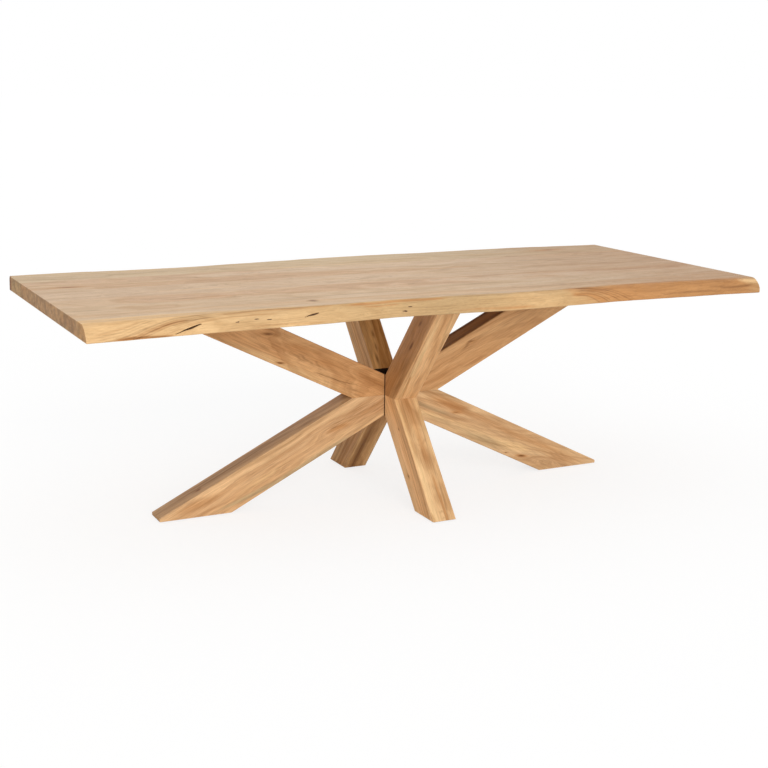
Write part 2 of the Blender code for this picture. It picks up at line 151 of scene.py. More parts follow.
# Cracks and small pits of the front edge: place along the table, height up the edge's face,
# half-length, tilt in degrees, half-width, depth
Crack = namedtuple("Crack", "along rise half_length tilt half_width depth")
FRONT_CRACKS = (
    Crack(-897, 18.5, 45, 16, 3.1, 7),
    Crack(-505, 31.8, 26, 12, 2.8, 5),
    Crack(-744, 28.8, 7, 8, 1.6, 1.2),
    Crack(-686, 33.9, 11, 6, 1.8, 1.4),
    Crack(-648, 29.6, 14, 6, 1.6, 1.4),
    Crack(-186, 18.6, 9, 0, 2.6, 2.2),
    Crack(-166, 32.5, 10, 6, 1.8, 1.4),
)

# Grain lines on a face: what they do, their points along and across the face, half-width, strength,
# how many lie side by side and how far apart
Vein = namedtuple("Vein", "kind run rise half_width strength copies step", defaults=(1, 0))
FRONT_VEINS = (
    Vein("red", (-1130, -1060, -1000, -940, -860), (2, 6, 24, 44, 56), 11, 0.55),
    Vein("dark", (-1130, -1060, -1000, -930, -780), (2, 8, 31, 53, 66), 2.2, 0.5, 3, 7),
    Vein("dark", (-1080, -1020, -960, -880, -780), (2, 12, 34, 52, 60), 1.8, 0.4, 2, 7.5),
    Vein("dark", (-1190, -1100, -1040, -980), (8, 20, 40, 58), 1.9, 0.36, 4, 8.5),
    Vein("red", (-1190, -1130, -1070, -1020), (20, 26, 44, 62), 6, 0.4),
    Vein("red", (-1140, -1060, -980, -920), (2, 3, 2, 1), 5, 0.8),
    Vein("dark", (-1120, -1060, -990, -940), (3, 6, 4, 1), 2.6, 0.45),
    Vein("dark", (-1000, -940, -860, -760, -640), (4, 22, 44, 56, 60), 1.3, 0.34, 3, 6.5),
    Vein("red", (-960, -900, -800, -680, -560), (10, 30, 46, 50, 48), 5, 0.45),
    Vein("dark", (-840, -660, -500, -300), (64, 70, 67, 64), 2, 0.52),
    Vein("red", (-840, -660, -500, -360), (60, 66, 62, 60), 5, 0.5),
    Vein("dark", (-800, -700, -600, -500), (14, 21, 18, 22), 1.4, 0.26, 3, 7),
    Vein("red", (-740, -620, -500, -420), (8, 10, 6, 10), 4, 0.5),
    Vein("red", (-420, -300, -160, 20), (58, 56, 58, 62), 7, 0.85),
    Vein("red", (-340, -260, -180), (46, 42, 44), 3.5, 0.6),
    Vein("dark", (-320, -200, -60), (48, 49, 54), 1.3, 0.4, 2, 6),
    Vein("dark", (-400, -240, -100, 40), (16, 22, 18, 20), 1.6, 0.24, 3, 9),
    Vein("dark", (-120, 100, 360, 600), (60, 64, 66, 66), 1.6, 0.45),
    Vein("red", (-60, 80, 200, 300), (8, 12, 8, 10), 4.5, 0.45),
    Vein("dark", (-20, 120, 240, 340), (34, 38, 34, 38), 1.3, 0.26, 3, 8),
    Vein("dark", (440, 492, 558, 608, 646, 690), (70, 68, 58, 37, 17, -4), 2.6, 0.55, 2, 9.5),
    Vein("dark", (445, 496, 550, 592, 640), (61, 58, 44, 24, -2), 2.6, 0.6, 2, 9.5),
    Vein("dark", (445, 498, 534, 558, 600), (47, 43, 32, 16, -10), 2.4, 0.55, 2, 9),
    Vein("dark", (440, 492, 508, 550), (36, 30, 20, -6), 2.4, 0.45),
    Vein("red", (390, 494, 554, 600, 660), (66, 62, 50, 30, 0), 16, 0.42),
    Vein("red", (420, 494, 520, 570), (42, 36, 26, 0), 10, 0.42),
    Vein("dark", (640, 720, 800, 880), (46, 36, 34, 38), 3, 0.24, 2, 11),
    Vein("dark", (720, 860, 980, 1100), (52, 50, 52, 54), 2.6, 0.28, 2, 8),
    Vein("dark", (780, 846, 928, 1002, 1050), (13, 16, 18, 17, 13), 4, 0.46),
    Vein("dark", (980, 1016, 1076, 1150, 1190), (32, 31, 24, 28, 31), 4.4, 0.56),
    Vein("dark", (1050, 1120, 1190), (14, 12, 14), 3, 0.3),
    Vein("pale", (1080, 1150, 1230), (52, 50, 42), 11, 1),
    Vein("red", (1100, 1160, 1240), (52, 50, 42), 13, -0.6),
    Vein("tone", (1100, 1160, 1240), (52, 50, 42), 12, 0.1),
)

# How far the golden sapwood reaches in from the front edge's foot, at the dips' even steps
FRONT_SAP = (0.088, 0.092, 0.074, 0.056, 0.048, 0.048, 0.046, 0.046, 0.047, 0.046, 0.040, 0.036, 0.048)
BACK_SAP = (0.020,) * 13

# Tints of the front edge's sapwood. Stretches: what they do, strength, where they start and stop
# along the table, and the share lost at the stop. Spots: what they do, strength, place, half-length.
FRONT_STRETCHES = (
    ("pale", 0.80, (-9.0, -8.0), (-0.75, -0.20), 1.0),
    ("pale", 0.36, (0.10, 0.25), (0.30, 0.42), 1.0),
    ("red", 0.85, (0.36, 0.78), (1.10, 1.18), 0.8),
)
FRONT_SPOTS = (
    ("red", 0.15, 0.24, 0.14),
    ("tone", -0.22, -0.04, 0.20),
    ("tone", -0.12, -0.70, 0.16),
    ("tone", -0.05, -0.40, 0.12),
    ("tone", 0.06, 0.62, 0.14),
)

# The top from left to right: where it turns, the painted light at its left, the painted shade it gains to
# the right, and the redder wood it gains there. The light and shade stand for a light that falls from the
# left.
TOP_TURN = (-0.15, 1.05)
LEFT_PAINTED_LIGHT = 0.13
RIGHT_PAINTED_SHADE = -0.20
RIGHT_RED = 0.45

# Sapwood: how far its border sways, how much longer than wide the sways are, and how it fades there
SAP_SWAY = 0.008
SAP_STRETCH = 3.0
SAP_FADE = (-0.012, 0.014)

# Cracks: their line wavers by a share of their width, so many radians to the metre. They taper to
# both ends by a power, start at a share of their full width and widen past a stretch of their run.
CRACK_WAVER = (0.12, 130.0)
CRACK_TAPER = 0.7
CRACK_START = 0.38
CRACK_WIDENS = (-0.6, 0.3)

# Stations crowd together round a crack: the least reach of the crowd, and how many more there are
CROWD_REACH = 0.03
CROWD_GAIN = 1.6

# Veins: how far their bends are rounded, the share of their length that each end fades over, and how
# much weaker every second one of a group is
VEIN_BLEND = 0.012
VEIN_FADE = 0.2
SECOND_LOSS = 0.25

# Worn ends of the boards: how far in, and how much
END_WEAR_REACH = 0.006
END_WEAR = 0.25

# Beams: how the veins of a face fade at its arrises, and how far the arrises are worn
FACE_FADE = (0.001, 0.006)
INNER_FADE = (0.0005, 0.003)
WORN_FADE = (0.001, 0.005)
WORN_REACH = 0.003

# The fold over a beam's nose keeps this many arrises clear of the outer corner
NOSE_ROOM = 1.2

# The boards with a live edge: widest line, the way in from it, seam, curves of the edge at even
# steps, how finely it is divided, its cracks and veins, and how lumpy it is
LiveEdge = namedtuple("LiveEdge", "name widest inward seam curves grid cracks veins lumps")
FRONT_CURVES = (FRONT_DIPS, FRONT_WANES, FRONT_POWERS, FRONT_SAP)
BACK_CURVES = (BACK_DIPS, BACK_WANES, BACK_POWERS, BACK_SAP)
FRONT_SEAM = SEAMS[1] - GAP / 2
BACK_SEAM = SEAMS[-2] + GAP / 2
LIVE_EDGES = (
    LiveEdge("front", SEAMS[0], 1, FRONT_SEAM, FRONT_CURVES, FRONT_GRID, FRONT_CRACKS, FRONT_VEINS, 1.0),
    LiveEdge("back", SEAMS[-1], -1, BACK_SEAM, BACK_CURVES, BACK_GRID, (), (), 0.6),
)

# Each piece of timber: its tone, where its pith lies across and up, how fast it drifts from the
# pith along the piece, ring width, seed, shares of red, pale and olive wood, contrast, and how
# short its figure is along the grain
Wood = namedtuple("Wood", "tone pith drift ring seed red pale olive contrast pace")
BOARD_WOODS = {
    "front": Wood((0.59, 0.418, 0.264), (130, -60), (0.04, 0), 12, 1, 0.28, 0.2, 0.1, 0.55, 2.2),
    "2": Wood((0.58, 0.412, 0.264), (20, -220), (-0.04, 0.03), 12, 2, 0.3, 0.25, 0.1, 0.55, 2.2),
    "3": Wood((0.585, 0.408, 0.262), (-30, 240), (0.045, 0.03), 11, 3, 0.32, 0.25, 0.1, 0.55, 2.2),
    "centre": Wood((0.57, 0.398, 0.256), (50, -250), (-0.035, -0.03), 13, 4, 0.35, 0.25, 0.1, 0.6, 2.2),
    "5": Wood((0.56, 0.393, 0.248), (-60, -170), (0.04, 0.03), 11, 5, 0.35, 0.2, 0.1, 0.6, 2.2),
    "6": Wood((0.57, 0.402, 0.26), (30, 240), (-0.03, 0.03), 12, 6, 0.25, 0.3, 0.1, 0.6, 2.2),
    "back": Wood((0.55, 0.418, 0.262), (-120, -180), (0.03, 0.03), 12, 7, 0.15, 0.3, 0.2, 0.55, 2.2),
}
BEAM_WOODS = {
    "leg_left": Wood((0.65, 0.395, 0.203), (90, 50), (0.05, 0.1), 11, 11, 0.3, 0.3, 0.15, 0.85, 1.5),
    "leg_right": Wood((0.612, 0.382, 0.197), (70, -80), (-0.06, 0.12), 12, 12, 0.25, 0.3, 0.2, 0.8, 1.5),
    "leg_front": Wood((0.66, 0.4, 0.193), (-300, 20), (0.02, 0.03), 11, 13, 0.25, 0.35, 0.15, 0.85, 1.4),
    "leg_back": Wood((0.395, 0.184, 0.05), (80, 60), (0.05, 0.05), 11, 14, 0.4, 0.15, 0.25, 1, 1.5),
    "arm_left": Wood((0.606, 0.308, 0.12), (-50, 110), (0.1, -0.14), 12, 15, 0.65, 0.3, 0.15, 0.85, 1.5),
    "arm_right": Wood((0.62, 0.338, 0.143), (60, -110), (0.08, 0.12), 11, 16, 0.4, 0.25, 0.15, 0.75, 1.5),
    "arm_front": Wood((0.72, 0.412, 0.19), (-80, -120), (0.05, 0.06), 11, 17, 0.3, 0.4, 0.15, 0.85, 1.5),
    "arm_back": Wood((0.6, 0.315, 0.098), (-60, 80), (0.06, 0.06), 11, 18, 0.3, 0.2, 0.4, 1.1, 1.5),
}

# Noise in the wood: how fast it changes along, across and up the grain. The sways push the rings
# aside, and also hold how far.
SWAYS = (((1.1, 4.5, 4.5), 0.100), ((4.5, 15.0, 15.0), 0.026), ((13.0, 45.0, 45.0), 0.006))
FIBRES = (2.6, 90.0, 90.0)
STREAKS = (8.0, 240.0, 240.0)
FINE_FIBRES = (16.0, 900.0, 900.0)
PORES = (20.0, 560.0, 560.0)
CLOUDS = (3.0, 20.0, 20.0)
VEIN_BREAKS = (2.5, 24.0, 24.0)
END_SPECKS = (40.0, 500.0, 500.0)
END_BLOTCHES = (3.0, 34.0, 34.0)

# Bands of darker wood that follow the rings: how many there are, which, how far their edges fade, and
# how rough they are
BROAD_BANDS = (0.22, 0.0, 0.36, 0.64)
MIDDLING_BANDS = (0.75, 11.0, 0.33, 0.67, 3.0)
LATE_BANDS = (0.19, 5.0, 0.40, 0.70)

# Zones of red, pale and olive wood that follow the rings: how many there are, which, and how far
# their edges fade. Patches of marks: how far their edges fade. Ring veins: how many, which, how wide.
ZONES = {
    "red": (0.15, 23.0, 0.44, 0.58),
    "pale": (0.13, 57.0, 0.46, 0.60),
    "olive": (0.14, 91.0, 0.46, 0.60),
}
PATCHES = (("pale", 0.15, 0.90), ("olive", 0.15, 0.95), ("red", 0.10, 0.95))
RING_VEINS = ((0.40, 40.0, 0.032), (0.90, 71.0, 0.024))

# What early wood, late wood, ring veins, cut ends and worn arrises make of a tone
EARLY_WOOD = (1.18, 1.22, 1.26)
LATE_WOOD = (0.70, 0.62, 0.52)
VEIN_WOOD = (0.48, 0.38, 0.28)
CUT_END = (0.635, 0.50, 0.33)
WORN_WOOD = (1.25, 1.28, 1.32)

# How much of a cut end shows on the ends of legs and arms, which are lacquered like their sides
BEAM_END = 0.4

# How far the camera sees
FAR_CLIP = 200.0

# Angle between faces above which an arris stays sharp, and the inset of a rounded arris at half turn
SHARP_ANGLE = math.radians(32)
HALF_TURN = 0.29


def knot(along, across, up, size, face="side", strength=1.5):
    """A knot on a face: a dark core, a red halo, and rings that bend round it."""
    deep = 25
    flat = (1.5 * size, size, deep) if face == "side" else (1.5 * size, deep, size)
    wide = (4.0 * size, 2.2 * size, deep) if face == "side" else (4.0 * size, deep, 2.2 * size)
    place = (along, across, up)
    core = Mark("dark", place, flat, strength)
    return core, Mark("red", place, wide, 0.6 * strength), Mark("warp", place, wide, 1.6 * size * MM)


BOARD_MARKS = {
    "back": (
        Mark("pale", (-800, -120, 50), (400, 12, 30), 0.8),
        Mark("pale", (-100, -90, 50), (600, 10, 30), 0.6),
        Mark("pale", (700, -30, 50), (400, 10, 30), 0.5),
        Mark("dark", (920, -12, 50), (16, 10, 30), 0.7),
        Mark("red", (920, -12, 50), (80, 20, 30), 0.5),
        Mark("red", (-1200, 60, 25), (3, 24, 60), 1),
        Mark("dark", (-1200, 64, 25), (3, 22, 60), 1.1),
    ),
    "6": (
        Mark("dark", (-200, 10, 50), (150, 6, 30), 0.25),
    ),
    "5": (
        Mark("dark", (-1080, 20, 50), (30, 7, 30), 0.9),
        Mark("red", (-1080, 20, 50), (80, 14, 30), 0.9),
        Mark("dark", (720, 30, 50), (110, 8, 30), 0.45),
        Mark("dark", (800, 0, 50), (80, 6, 30), 0.3),
    ),
    "centre": (
        Mark("red", (-430, 70, 50), (110, 26, 30), 0.45),
        Mark("red", (-20, 80, 50), (120, 22, 30), 0.35),
        Mark("dark", (270, 80, 50), (30, 8, 30), 0.45),
        Mark("pale", (-700, -20, 50), (200, 12, 30), 0.5),
    ),
    "3": (
        Mark("red", (-700, -20, 50), (110, 18, 30), 0.45),
        Mark("dark", (-800, -30, 50), (60, 7, 30), 0.35),
        Mark("dark", (350, 20, 50), (120, 6, 30), 0.25),
    ),
    "2": (
        Mark("dark", (-350, -10, 50), (300, 5, 30), 0.4),
        Mark("dark", (-1140, 0, 50), (50, 8, 30), 0.35),
        Mark("dark", (150, 30, 50), (200, 6, 30), 0.3),
    ),
    "front": (
        *knot(-450, 80, 50, 8, "top", 1),
        Mark("dark", (-1060, 70, 50), (60, 8, 30), 0.3),
        Mark("dark", (300, 60, 50), (250, 5, 30), 0.3),
    ),
}
BEAM_MARKS = {
    "arm_left": (
        *knot(562, -26, 43, 7),
        *knot(332, 46, 43, 4),
        Mark("red", (430, -18, 43), (80, 30, 30), 0.9),
        Mark("red", (295, -12, 43), (60, 22, 30), 0.8),
        Mark("red", (100, -20, 43), (110, 30, 30), 0.8),
        Mark("pale", (350, 50, 43), (350, 18, 50), 0.6),
        Mark("dark", (65, 32, 43), (16, 7, 20), 0.5),
        Mark("dark", (610, -42, 43), (60, 5, 20), 0.4),
    ),
    "leg_left": (
        Mark("warp", (229, 3, 43), (60, 22, 30), 0.03),
        Mark("red", (229, -6, 43), (40, 14, 30), 0.7),
        Mark("dark", (220, 4, 43), (12, 4, 20), 0.6),
        Mark("red", (120, 0, 43), (100, 40, 30), 0.35),
        Mark("pale", (560, -12, 43), (110, 20, 30), 0.5),
        Mark("red", (700, 36, 43), (80, 30, 30), 0.6),
        Mark("tone", (640, 20, 43), (160, 60, 30), 0.09),
        Mark("dark", (685, 49, 43), (22, 6, 20), 0.4),
        Mark("dark", (400, 60, -10), (600, 6, 30), 0.42),
        *knot(611, 60, 8, 6, "slant", 1),
        Mark("dark", (169, 60, 13), (30, 10, 8), 0.45),
    ),
    "arm_front": (
        Mark("red", (250, 0, -43), (400, 60, 14), 1),
        # Painted shade: this tone mark keeps the whole left face darker than the front. The red mark before
        # it is reddish wood.
        Mark("tone", (250, 0, -43), (400, 60, 12), -0.14),
        Mark("dark", (385, -3, -43), (16, 5, 14), 1.3),
        Mark("dark", (272, 5, -43), (20, 5, 14), 1.5),
        Mark("dark", (170, 20, -43), (45, 10, 14), 0.55),
        Mark("dark", (80, 34, -43), (40, 10, 14), 0.4),
        Mark("dark", (300, -30, -43), (80, 5, 14), 0.4),
        Mark("pale", (240, 52, -24), (260, 14, 10), 0.85),
    ),
    "leg_front": (
        *knot(317, -18, -43, 4, strength=1),
        *knot(127, 15, -43, 3, strength=1),
        # Painted light: this tone mark lightens the whole left face.
        Mark("tone", (200, 0, -43), (500, 50, 10), 0.36),
    ),
    "arm_right": (
        *knot(372, -29, -43, 4, strength=0.7),
        Mark("red", (355, -22, -43), (50, 14, 20), 0.5),
        Mark("red", (205, 45, -43), (40, 10, 20), 0.8),
        Mark("red", (100, 20, -43), (70, 30, 20), 0.5),
    ),
    "leg_right": (
        *knot(208, 11, -43, 4, strength=1),
        *knot(648, -37, -43, 4.8, strength=1.8),
        *knot(603, -49, -43, 3, strength=1),
        Mark("olive", (470, -38, -43), (110, 20, 20), 0.9),
        Mark("olive", (250, -36, -43), (120, 16, 20), 0.5),
        Mark("pale", (560, -18, -43), (60, 22, 20), 0.8),
        Mark("tone", (730, 0, -43), (90, 60, 30), -0.12),
        Mark("tone", (130, 0, -43), (120, 60, 30), 0.1),
        Mark("warp", (717, -16, -43), (60, 24, 30), 0.03),
        Mark("red", (720, 20, -43), (90, 30, 30), 0.6),
    ),
    "arm_back": (
        Mark("dark", (236, -52, 4), (14, 14, 4), 0.9),
        Mark("dark", (183, -52, 8), (18, 14, 4), 0.9),
        Mark("dark", (137, -52, 18), (20, 14, 5), 0.8),
        Mark("dark", (300, -52, -10), (100, 14, 4), 0.5),
        Mark("dark", (300, -52, -30), (300, 14, 8), 0.3),
    ),
    "leg_back": (
        Mark("dark", (360, -52, 16), (300, 14, 13), 0.85),
        Mark("pale", (300, -52, 38), (300, 14, 7), 0.6),
        Mark("pale", (300, -52, -34), (300, 14, 16), 0.6),
        Mark("tone", (300, -52, -34), (300, 14, 16), 0.1),
    ),
}

# Grain lines of legs and arms, by piece and face. They run from the mitre's level.
BEAM_VEINS = {
    ("arm_left", "left"): (
        Vein("dark", (95, 142, 200, 250), (11, 23, 26, 30), 2.2, 0.85),
        Vein("dark", (320, 350, 370, 400), (4, 8, -4, 0), 2.4, 0.55, 2, 7),
        Vein("dark", (236, 290, 330), (9, 8, -6), 2, 0.45, 2, 8),
        Vein("dark", (70, 110, 160), (34, 28, 34), 2, 0.4, 2, 6),
        Vein("dark", (400, 500, 620), (26, 28, 20), 1.8, 0.3, 3, 10),
    ),
    ("leg_left", "left"): (
        Vein("dark", (60, 130, 230, 330), (-36, -40, -46, -50), 2.4, 0.4, 2, 6),
        Vein("dark", (40, 110, 170, 240), (0, 12, 6, 18), 2.4, 0.34, 4, 8.5),
        Vein("dark", (20, 80, 150, 220), (-16, -22, -20, -26), 2.2, 0.36, 2, 8),
        Vein("pale", (20, 160, 320), (-56, -56, -57), 3.6, 1.1),
        Vein("tone", (20, 160, 320), (-56, -56, -57), 3.6, 0.1),
        Vein("dark", (430, 500, 580), (14, 17, 12), 2.2, 0.25, 2, 9),
        Vein("dark", (640, 700, 750), (50, 40, 46), 2, 0.26, 3, 7),
        Vein("olive", (240, 440, 564, 671, 820), (-58, -56, -56, -44, -22), 10, 1.1),
        Vein("tone", (300, 440, 564, 660, 780), (-58, -57, -57, -50, -32), 6, -0.2),
        Vein("dark", (500, 605, 683, 770), (-52, -44, -33, -18), 2.6, 0.3),
    ),
    ("leg_left", "outer"): (
        Vein("dark", (80, 300, 520, 760), (-10, -16, -12, -20), 2.6, 0.5, 2, 18),
        # Painted shade: the upper face lies under the top, and this wide line darkens all of it. The dark
        # lines are grain.
        Vein("tone", (-200, 1000), (0, 0), 90, -0.16),
    ),
    ("arm_front", "outer"): (
        Vein("dark", (0, 120, 260, 400), (-36, -34, -38, -36), 1.8, 0.45),
        Vein("red", (0, 60, 140), (-16, -20, -26), 4, 0.8),
        Vein("dark", (0, 80, 200), (-22, -26, -30), 1.5, 0.45),
        Vein("dark", (60, 180, 300), (6, 14, 12), 1.8, 0.26, 3, 11),
        Vein("dark", (240, 300, 360), (36, 30, 36), 2.4, 0.55, 2, 6),
    ),
    ("leg_front", "outer"): (
        Vein("pale", (-60, 120, 230), (-40, -40, -40), 8, 1.2),
        Vein("tone", (-60, 120, 230), (-40, -40, -40), 8, 0.1),
        Vein("pale", (170, 280, 360, 600), (-38, -28, -30, -31), 11, 1.2),
        Vein("dark", (-50, 71, 164, 214, 290), (-21, -22, -20, -21, -12), 2.4, 0.34),
        Vein("red", (-80, 120, 300), (0, 4, 6), 17, 0.55),
        Vein("dark", (-50, 80, 123, 211, 340), (18, 23, 26, 23, 20), 2.2, 0.42),
        Vein("pale", (-60, 120, 260), (34, 35, 36), 7, 1),
        Vein("red", (260, 379, 452, 540), (6, 10, 11, 12), 7, 0.8),
        Vein("dark", (300, 377, 456, 520), (22, 23, 14, 12), 2.2, 0.5),
        Vein("dark", (300, 400, 520), (0, 6, 4), 2, 0.3),
    ),
    ("leg_front", "right"): (
        Vein("dark", (40, 200, 360), (30, 36, 32), 1.8, 0.35, 3, 9),
    ),
    # Painted shade: arm_right's inner face lies under the top, and these lines darken and redden all of it,
    # with darker strips along both arrises.
    ("arm_right", "inner"): (
        Vein("red", (-300, 1200), (0, 0), 80, 1),
        Vein("dark", (-300, 1200), (0, 0), 80, 0.2),
        Vein("dark", (-300, 1200), (-36, -36), 13, 0.8),
        Vein("dark", (-300, 1200), (34, 34), 14, 0.8),
        Vein("tone", (-300, 1200), (0, 0), 80, -0.24),
        Vein("tone", (-300, 1200), (-36, -36), 13, -0.25),
        Vein("tone", (-300, 1200), (34, 34), 14, -0.3),
    ),
    ("arm_right", "right"): (
        Vein("dark", (50, 950), (-62, -62), 6, 0.75),
        Vein("dark", (290, 330, 372, 430), (-16, -21, -34, -30), 2.4, 0.55),
        Vein("dark", (300, 345, 400, 450), (-10, -15, -24, -22), 2.2, 0.36),
        Vein("dark", (360, 460, 560), (14, 20, 16), 2.2, 0.22, 3, 9),
        Vein("dark", (460, 560, 660), (-12, -4, -10), 2.4, 0.32, 3, 10),
        Vein("dark", (150, 205, 260), (40, 46, 44), 2, 0.4, 2, 7),
    ),
    ("leg_right", "right"): (
        Vein("red", (-60, 80, 220), (40, 40, 36), 18, 0.55),
        Vein("tone", (-60, 80, 220), (42, 42, 38), 17, -0.13),
        Vein("olive", (-20, 110, 240), (-8, -12, -6), 7, 0.9),
        Vein("tone", (-20, 110, 240), (-8, -12, -6), 6, -0.1),
        Vein("pale", (0, 120, 260), (-42, -44, -38), 11, 0.7),
        Vein("red", (0, 158, 271, 471, 720), (22, 20, 28, 24, 36), 20, 0.5),
        Vein("pale", (0, 158, 300, 471, 660), (-34, -30, -22, -22, -16), 12, 0.55),
        Vein("dark", (30, 101, 158, 211, 300), (-18, -14, -7, -5, 0), 4.2, 0.36, 2, 9),
        Vein("dark", (300, 354, 471, 545, 640), (6, 8, 0, 5, 12), 2.4, 0.36),
        Vein("dark", (400, 480, 540, 600), (-26, -34, -42, -50), 4, 0.3, 2, 10),
        Vein("dark", (640, 700, 760), (30, 16, 20), 2.2, 0.26, 3, 9),
    ),
}


class TableSizes(PropertyGroup):
    """Small forms that the looks add to the part's own sizes."""

    end_ease: FloatProperty(
        name="End ease", description="Arris taken off the ends of the boards",
        default=0.002, unit="LENGTH",
    )
    edge_foot: FloatProperty(
        name="Edge foot", description="Upright foot of a live edge", default=0.010, unit="LENGTH"
    )
    arris: FloatProperty(
        name="Arris", description="Rounding of the long arrises of legs and arms",
        default=0.003, unit="LENGTH",
    )
    lump: FloatProperty(
        name="Lumps", description="Swell of the natural lumps of a live edge",
        default=0.0022, unit="LENGTH",
    )
    ridge: FloatProperty(
        name="Ridges", description="Height of the fine ridges on a live edge",
        default=0.0005, unit="LENGTH",
    )


class TableTones(PropertyGroup):
    """Colours that all the wood shares, and those of the fittings."""

    dark: FloatVectorProperty(
        name="Dark", description="Knots and dark streaks",
        default=(0.150, 0.054, 0.010), subtype="COLOR", size=3,
    )
    red: FloatVectorProperty(
        name="Red", description="Reddish heartwood",
        default=(0.500, 0.240, 0.085), subtype="COLOR", size=3,
    )
    pale: FloatVectorProperty(
        name="Pale", description="Pale sapwood", default=(0.700, 0.455, 0.225), subtype="COLOR", size=3
    )
    olive: FloatVectorProperty(
        name="Olive", description="Greyish olive heartwood",
        default=(0.520, 0.350, 0.178), subtype="COLOR", size=3,
    )
    sap: FloatVectorProperty(
        name="Sap", description="Golden wood of the live edges",
        default=(0.560, 0.360, 0.170), subtype="COLOR", size=3,
    )
    # Cracks and pits are darkened: partly darker wood inside them, partly painted shade in their narrow
    # slits.
    crack: FloatVectorProperty(
        name="Crack", description="Inside of cracks and pits",
        default=(0.095, 0.042, 0.018), subtype="COLOR", size=3,
    )
    # The steel's brown tint is painted reflection of warm light off the wood, on a coat that is black.
    steel: FloatVectorProperty(
        name="Steel", description="Black powder coat",
        default=(0.020, 0.010, 0.006), subtype="COLOR", size=3,
    )
    zinc: FloatVectorProperty(
        name="Zinc", description="Zinc-plated screws",
        default=(0.58, 0.58, 0.56), subtype="COLOR", size=3,
    )
    felt: FloatVectorProperty(
        name="Felt", description="Felt pads", default=(0.080, 0.055, 0.038), subtype="COLOR", size=3
    )
    joint: FloatVectorProperty(
        name="Joint wood", description="Bare wood of tongues and tenons",
        default=(0.680, 0.520, 0.330), subtype="COLOR", size=3,
    )


class TableStage(PropertyGroup):
    """Camera, light and floor."""

    place: FloatVectorProperty(
        name="Camera place", description="Where the camera stands",
        default=(-2.12455, -4.17621, 1.46201), subtype="TRANSLATION", unit="LENGTH", size=3,
    )
    yaw: FloatProperty(
        name="Yaw", description="Turn to the right of straight ahead",
        default=math.radians(26.8011), subtype="ANGLE",
    )
    pitch: FloatProperty(
        name="Pitch", description="Tilt down from level", default=math.radians(13.0449), subtype="ANGLE"
    )
    roll: FloatProperty(
        name="Roll", description="Turn about the line of sight",
        default=math.radians(0.8398), subtype="ANGLE",
    )
    lens: FloatProperty(
        name="Lens", description="Focal length", default=63.8623, subtype="DISTANCE_CAMERA"
    )
    sky: FloatProperty(
        name="Sky", description="Strength of the soft light all round", default=0.78
    )
    lamp: FloatProperty(
        name="Lamp", description="Strength of the wide front lamp", default=1.50
    )
    lamp_rise: FloatProperty(
        name="Lamp rise", description="Height of the lamp over the horizon",
        default=math.radians(18), subtype="ANGLE",
    )
    lamp_turn: FloatProperty(
        name="Lamp turn", description="Turn of the lamp to the right of the front",
        default=math.radians(-8), subtype="ANGLE",
    )
    lamp_spread: FloatProperty(
        name="Lamp spread", description="Width of the lamp as seen from the table",
        default=math.radians(40), subtype="ANGLE",
    )
    floor_reach: FloatProperty(
        name="Floor reach", description="Half-width of the floor", default=60.0, unit="LENGTH"
    )
    floor_tone: FloatVectorProperty(
        name="Floor", description="Colour of the floor",
        default=(0.88, 0.88, 0.88), subtype="COLOR", size=3,
    )
    floor_glow: FloatProperty(
        name="Floor glow", description="Brightness that the camera sees on the bare floor",
        default=1.075,
    )
    floor_share: FloatProperty(
        name="Glow share", description="Share of that glow against the floor's own light and shadow",
        default=0.72, subtype="FACTOR",
    )


def smooth_through(heights, places):
    """A smooth curve through evenly spaced heights, whose highs and lows fall on them.

    Each stretch is a cubic. Its end slopes are the harmonic mean of the steps on either side,
    and level where the steps change sign.
    """
    heights = np.asarray(heights)
    steps = np.diff(heights)
    slopes = np.concatenate(([steps[0]], np.zeros(len(steps) - 1), [steps[-1]]))
    before, after = steps[:-1], steps[1:]
    runs_on = before * after > 0
    slopes[1:-1][runs_on] = (2 * before * after)[runs_on] / (before + after)[runs_on]
    k = np.minimum(places.astype(int), len(steps) - 1)
    t = places - k
    level = heights[k] + steps[k] * t * t * (3 - 2 * t)
    return level + t * (1 - t) * (slopes[k] * (1 - t) - slopes[k + 1] * t)


def ripples(a, b, waves, seed=0, stretch=1.0):
    """The mean of a few sine waves of about one wavelength, in chosen-by-seed directions."""
    rng = np.random.default_rng(waves.seed + seed)
    total = np.zeros(np.broadcast(a, b).shape)
    for turn, phase, share in rng.random((waves.count, 3)):
        angle = math.pi * turn
        wave = 2 * math.pi / (waves.length * SHORTEST_WAVE * (1 + share))
        place = a / stretch * math.cos(angle) + b * math.sin(angle)
        total = total + np.sin(wave * place + 2 * math.pi * phase)
    return total / math.sqrt(waves.count)


def step_up(value, low, high):
    """0 below low, 1 above high, and a smooth rise between them."""
    t = np.clip((value - low) / (high - low), 0.0, 1.0)
    return t * t * (3 - 2 * t)


def marks_at(grain, marks, seed):
    """The strength of each kind of mark at each point: a sum of soft blobs."""
    start = np.array((SEED_STEP * seed, 0.0, 0.0))
    found = {kind: np.zeros(grain.shape[:-1]) for kind in KINDS}
    for mark in marks:
        away = (grain - start - MM * np.array(mark.place)) / (MM * np.array(mark.reach))
        found[mark.kind] += mark.strength * np.exp(-(away ** 2).sum(axis=-1))
    return found


def face_loops(stations, around, start_loops, stop_loops):
    """Faces of a closed loft: quads between the rings, and caps from loops of ring places."""
    grid = np.arange(stations * around).reshape(stations, around)
    after = np.roll(grid, -1, axis=1)
    quads = np.stack((grid[:-1], after[:-1], after[1:], grid[1:]), axis=-1).reshape(-1, 4)
    starts = [grid[0][list(loop)][::-1] for loop in start_loops]
    stops = [grid[-1][list(loop)] for loop in stop_loops]
    return quads, starts + stops


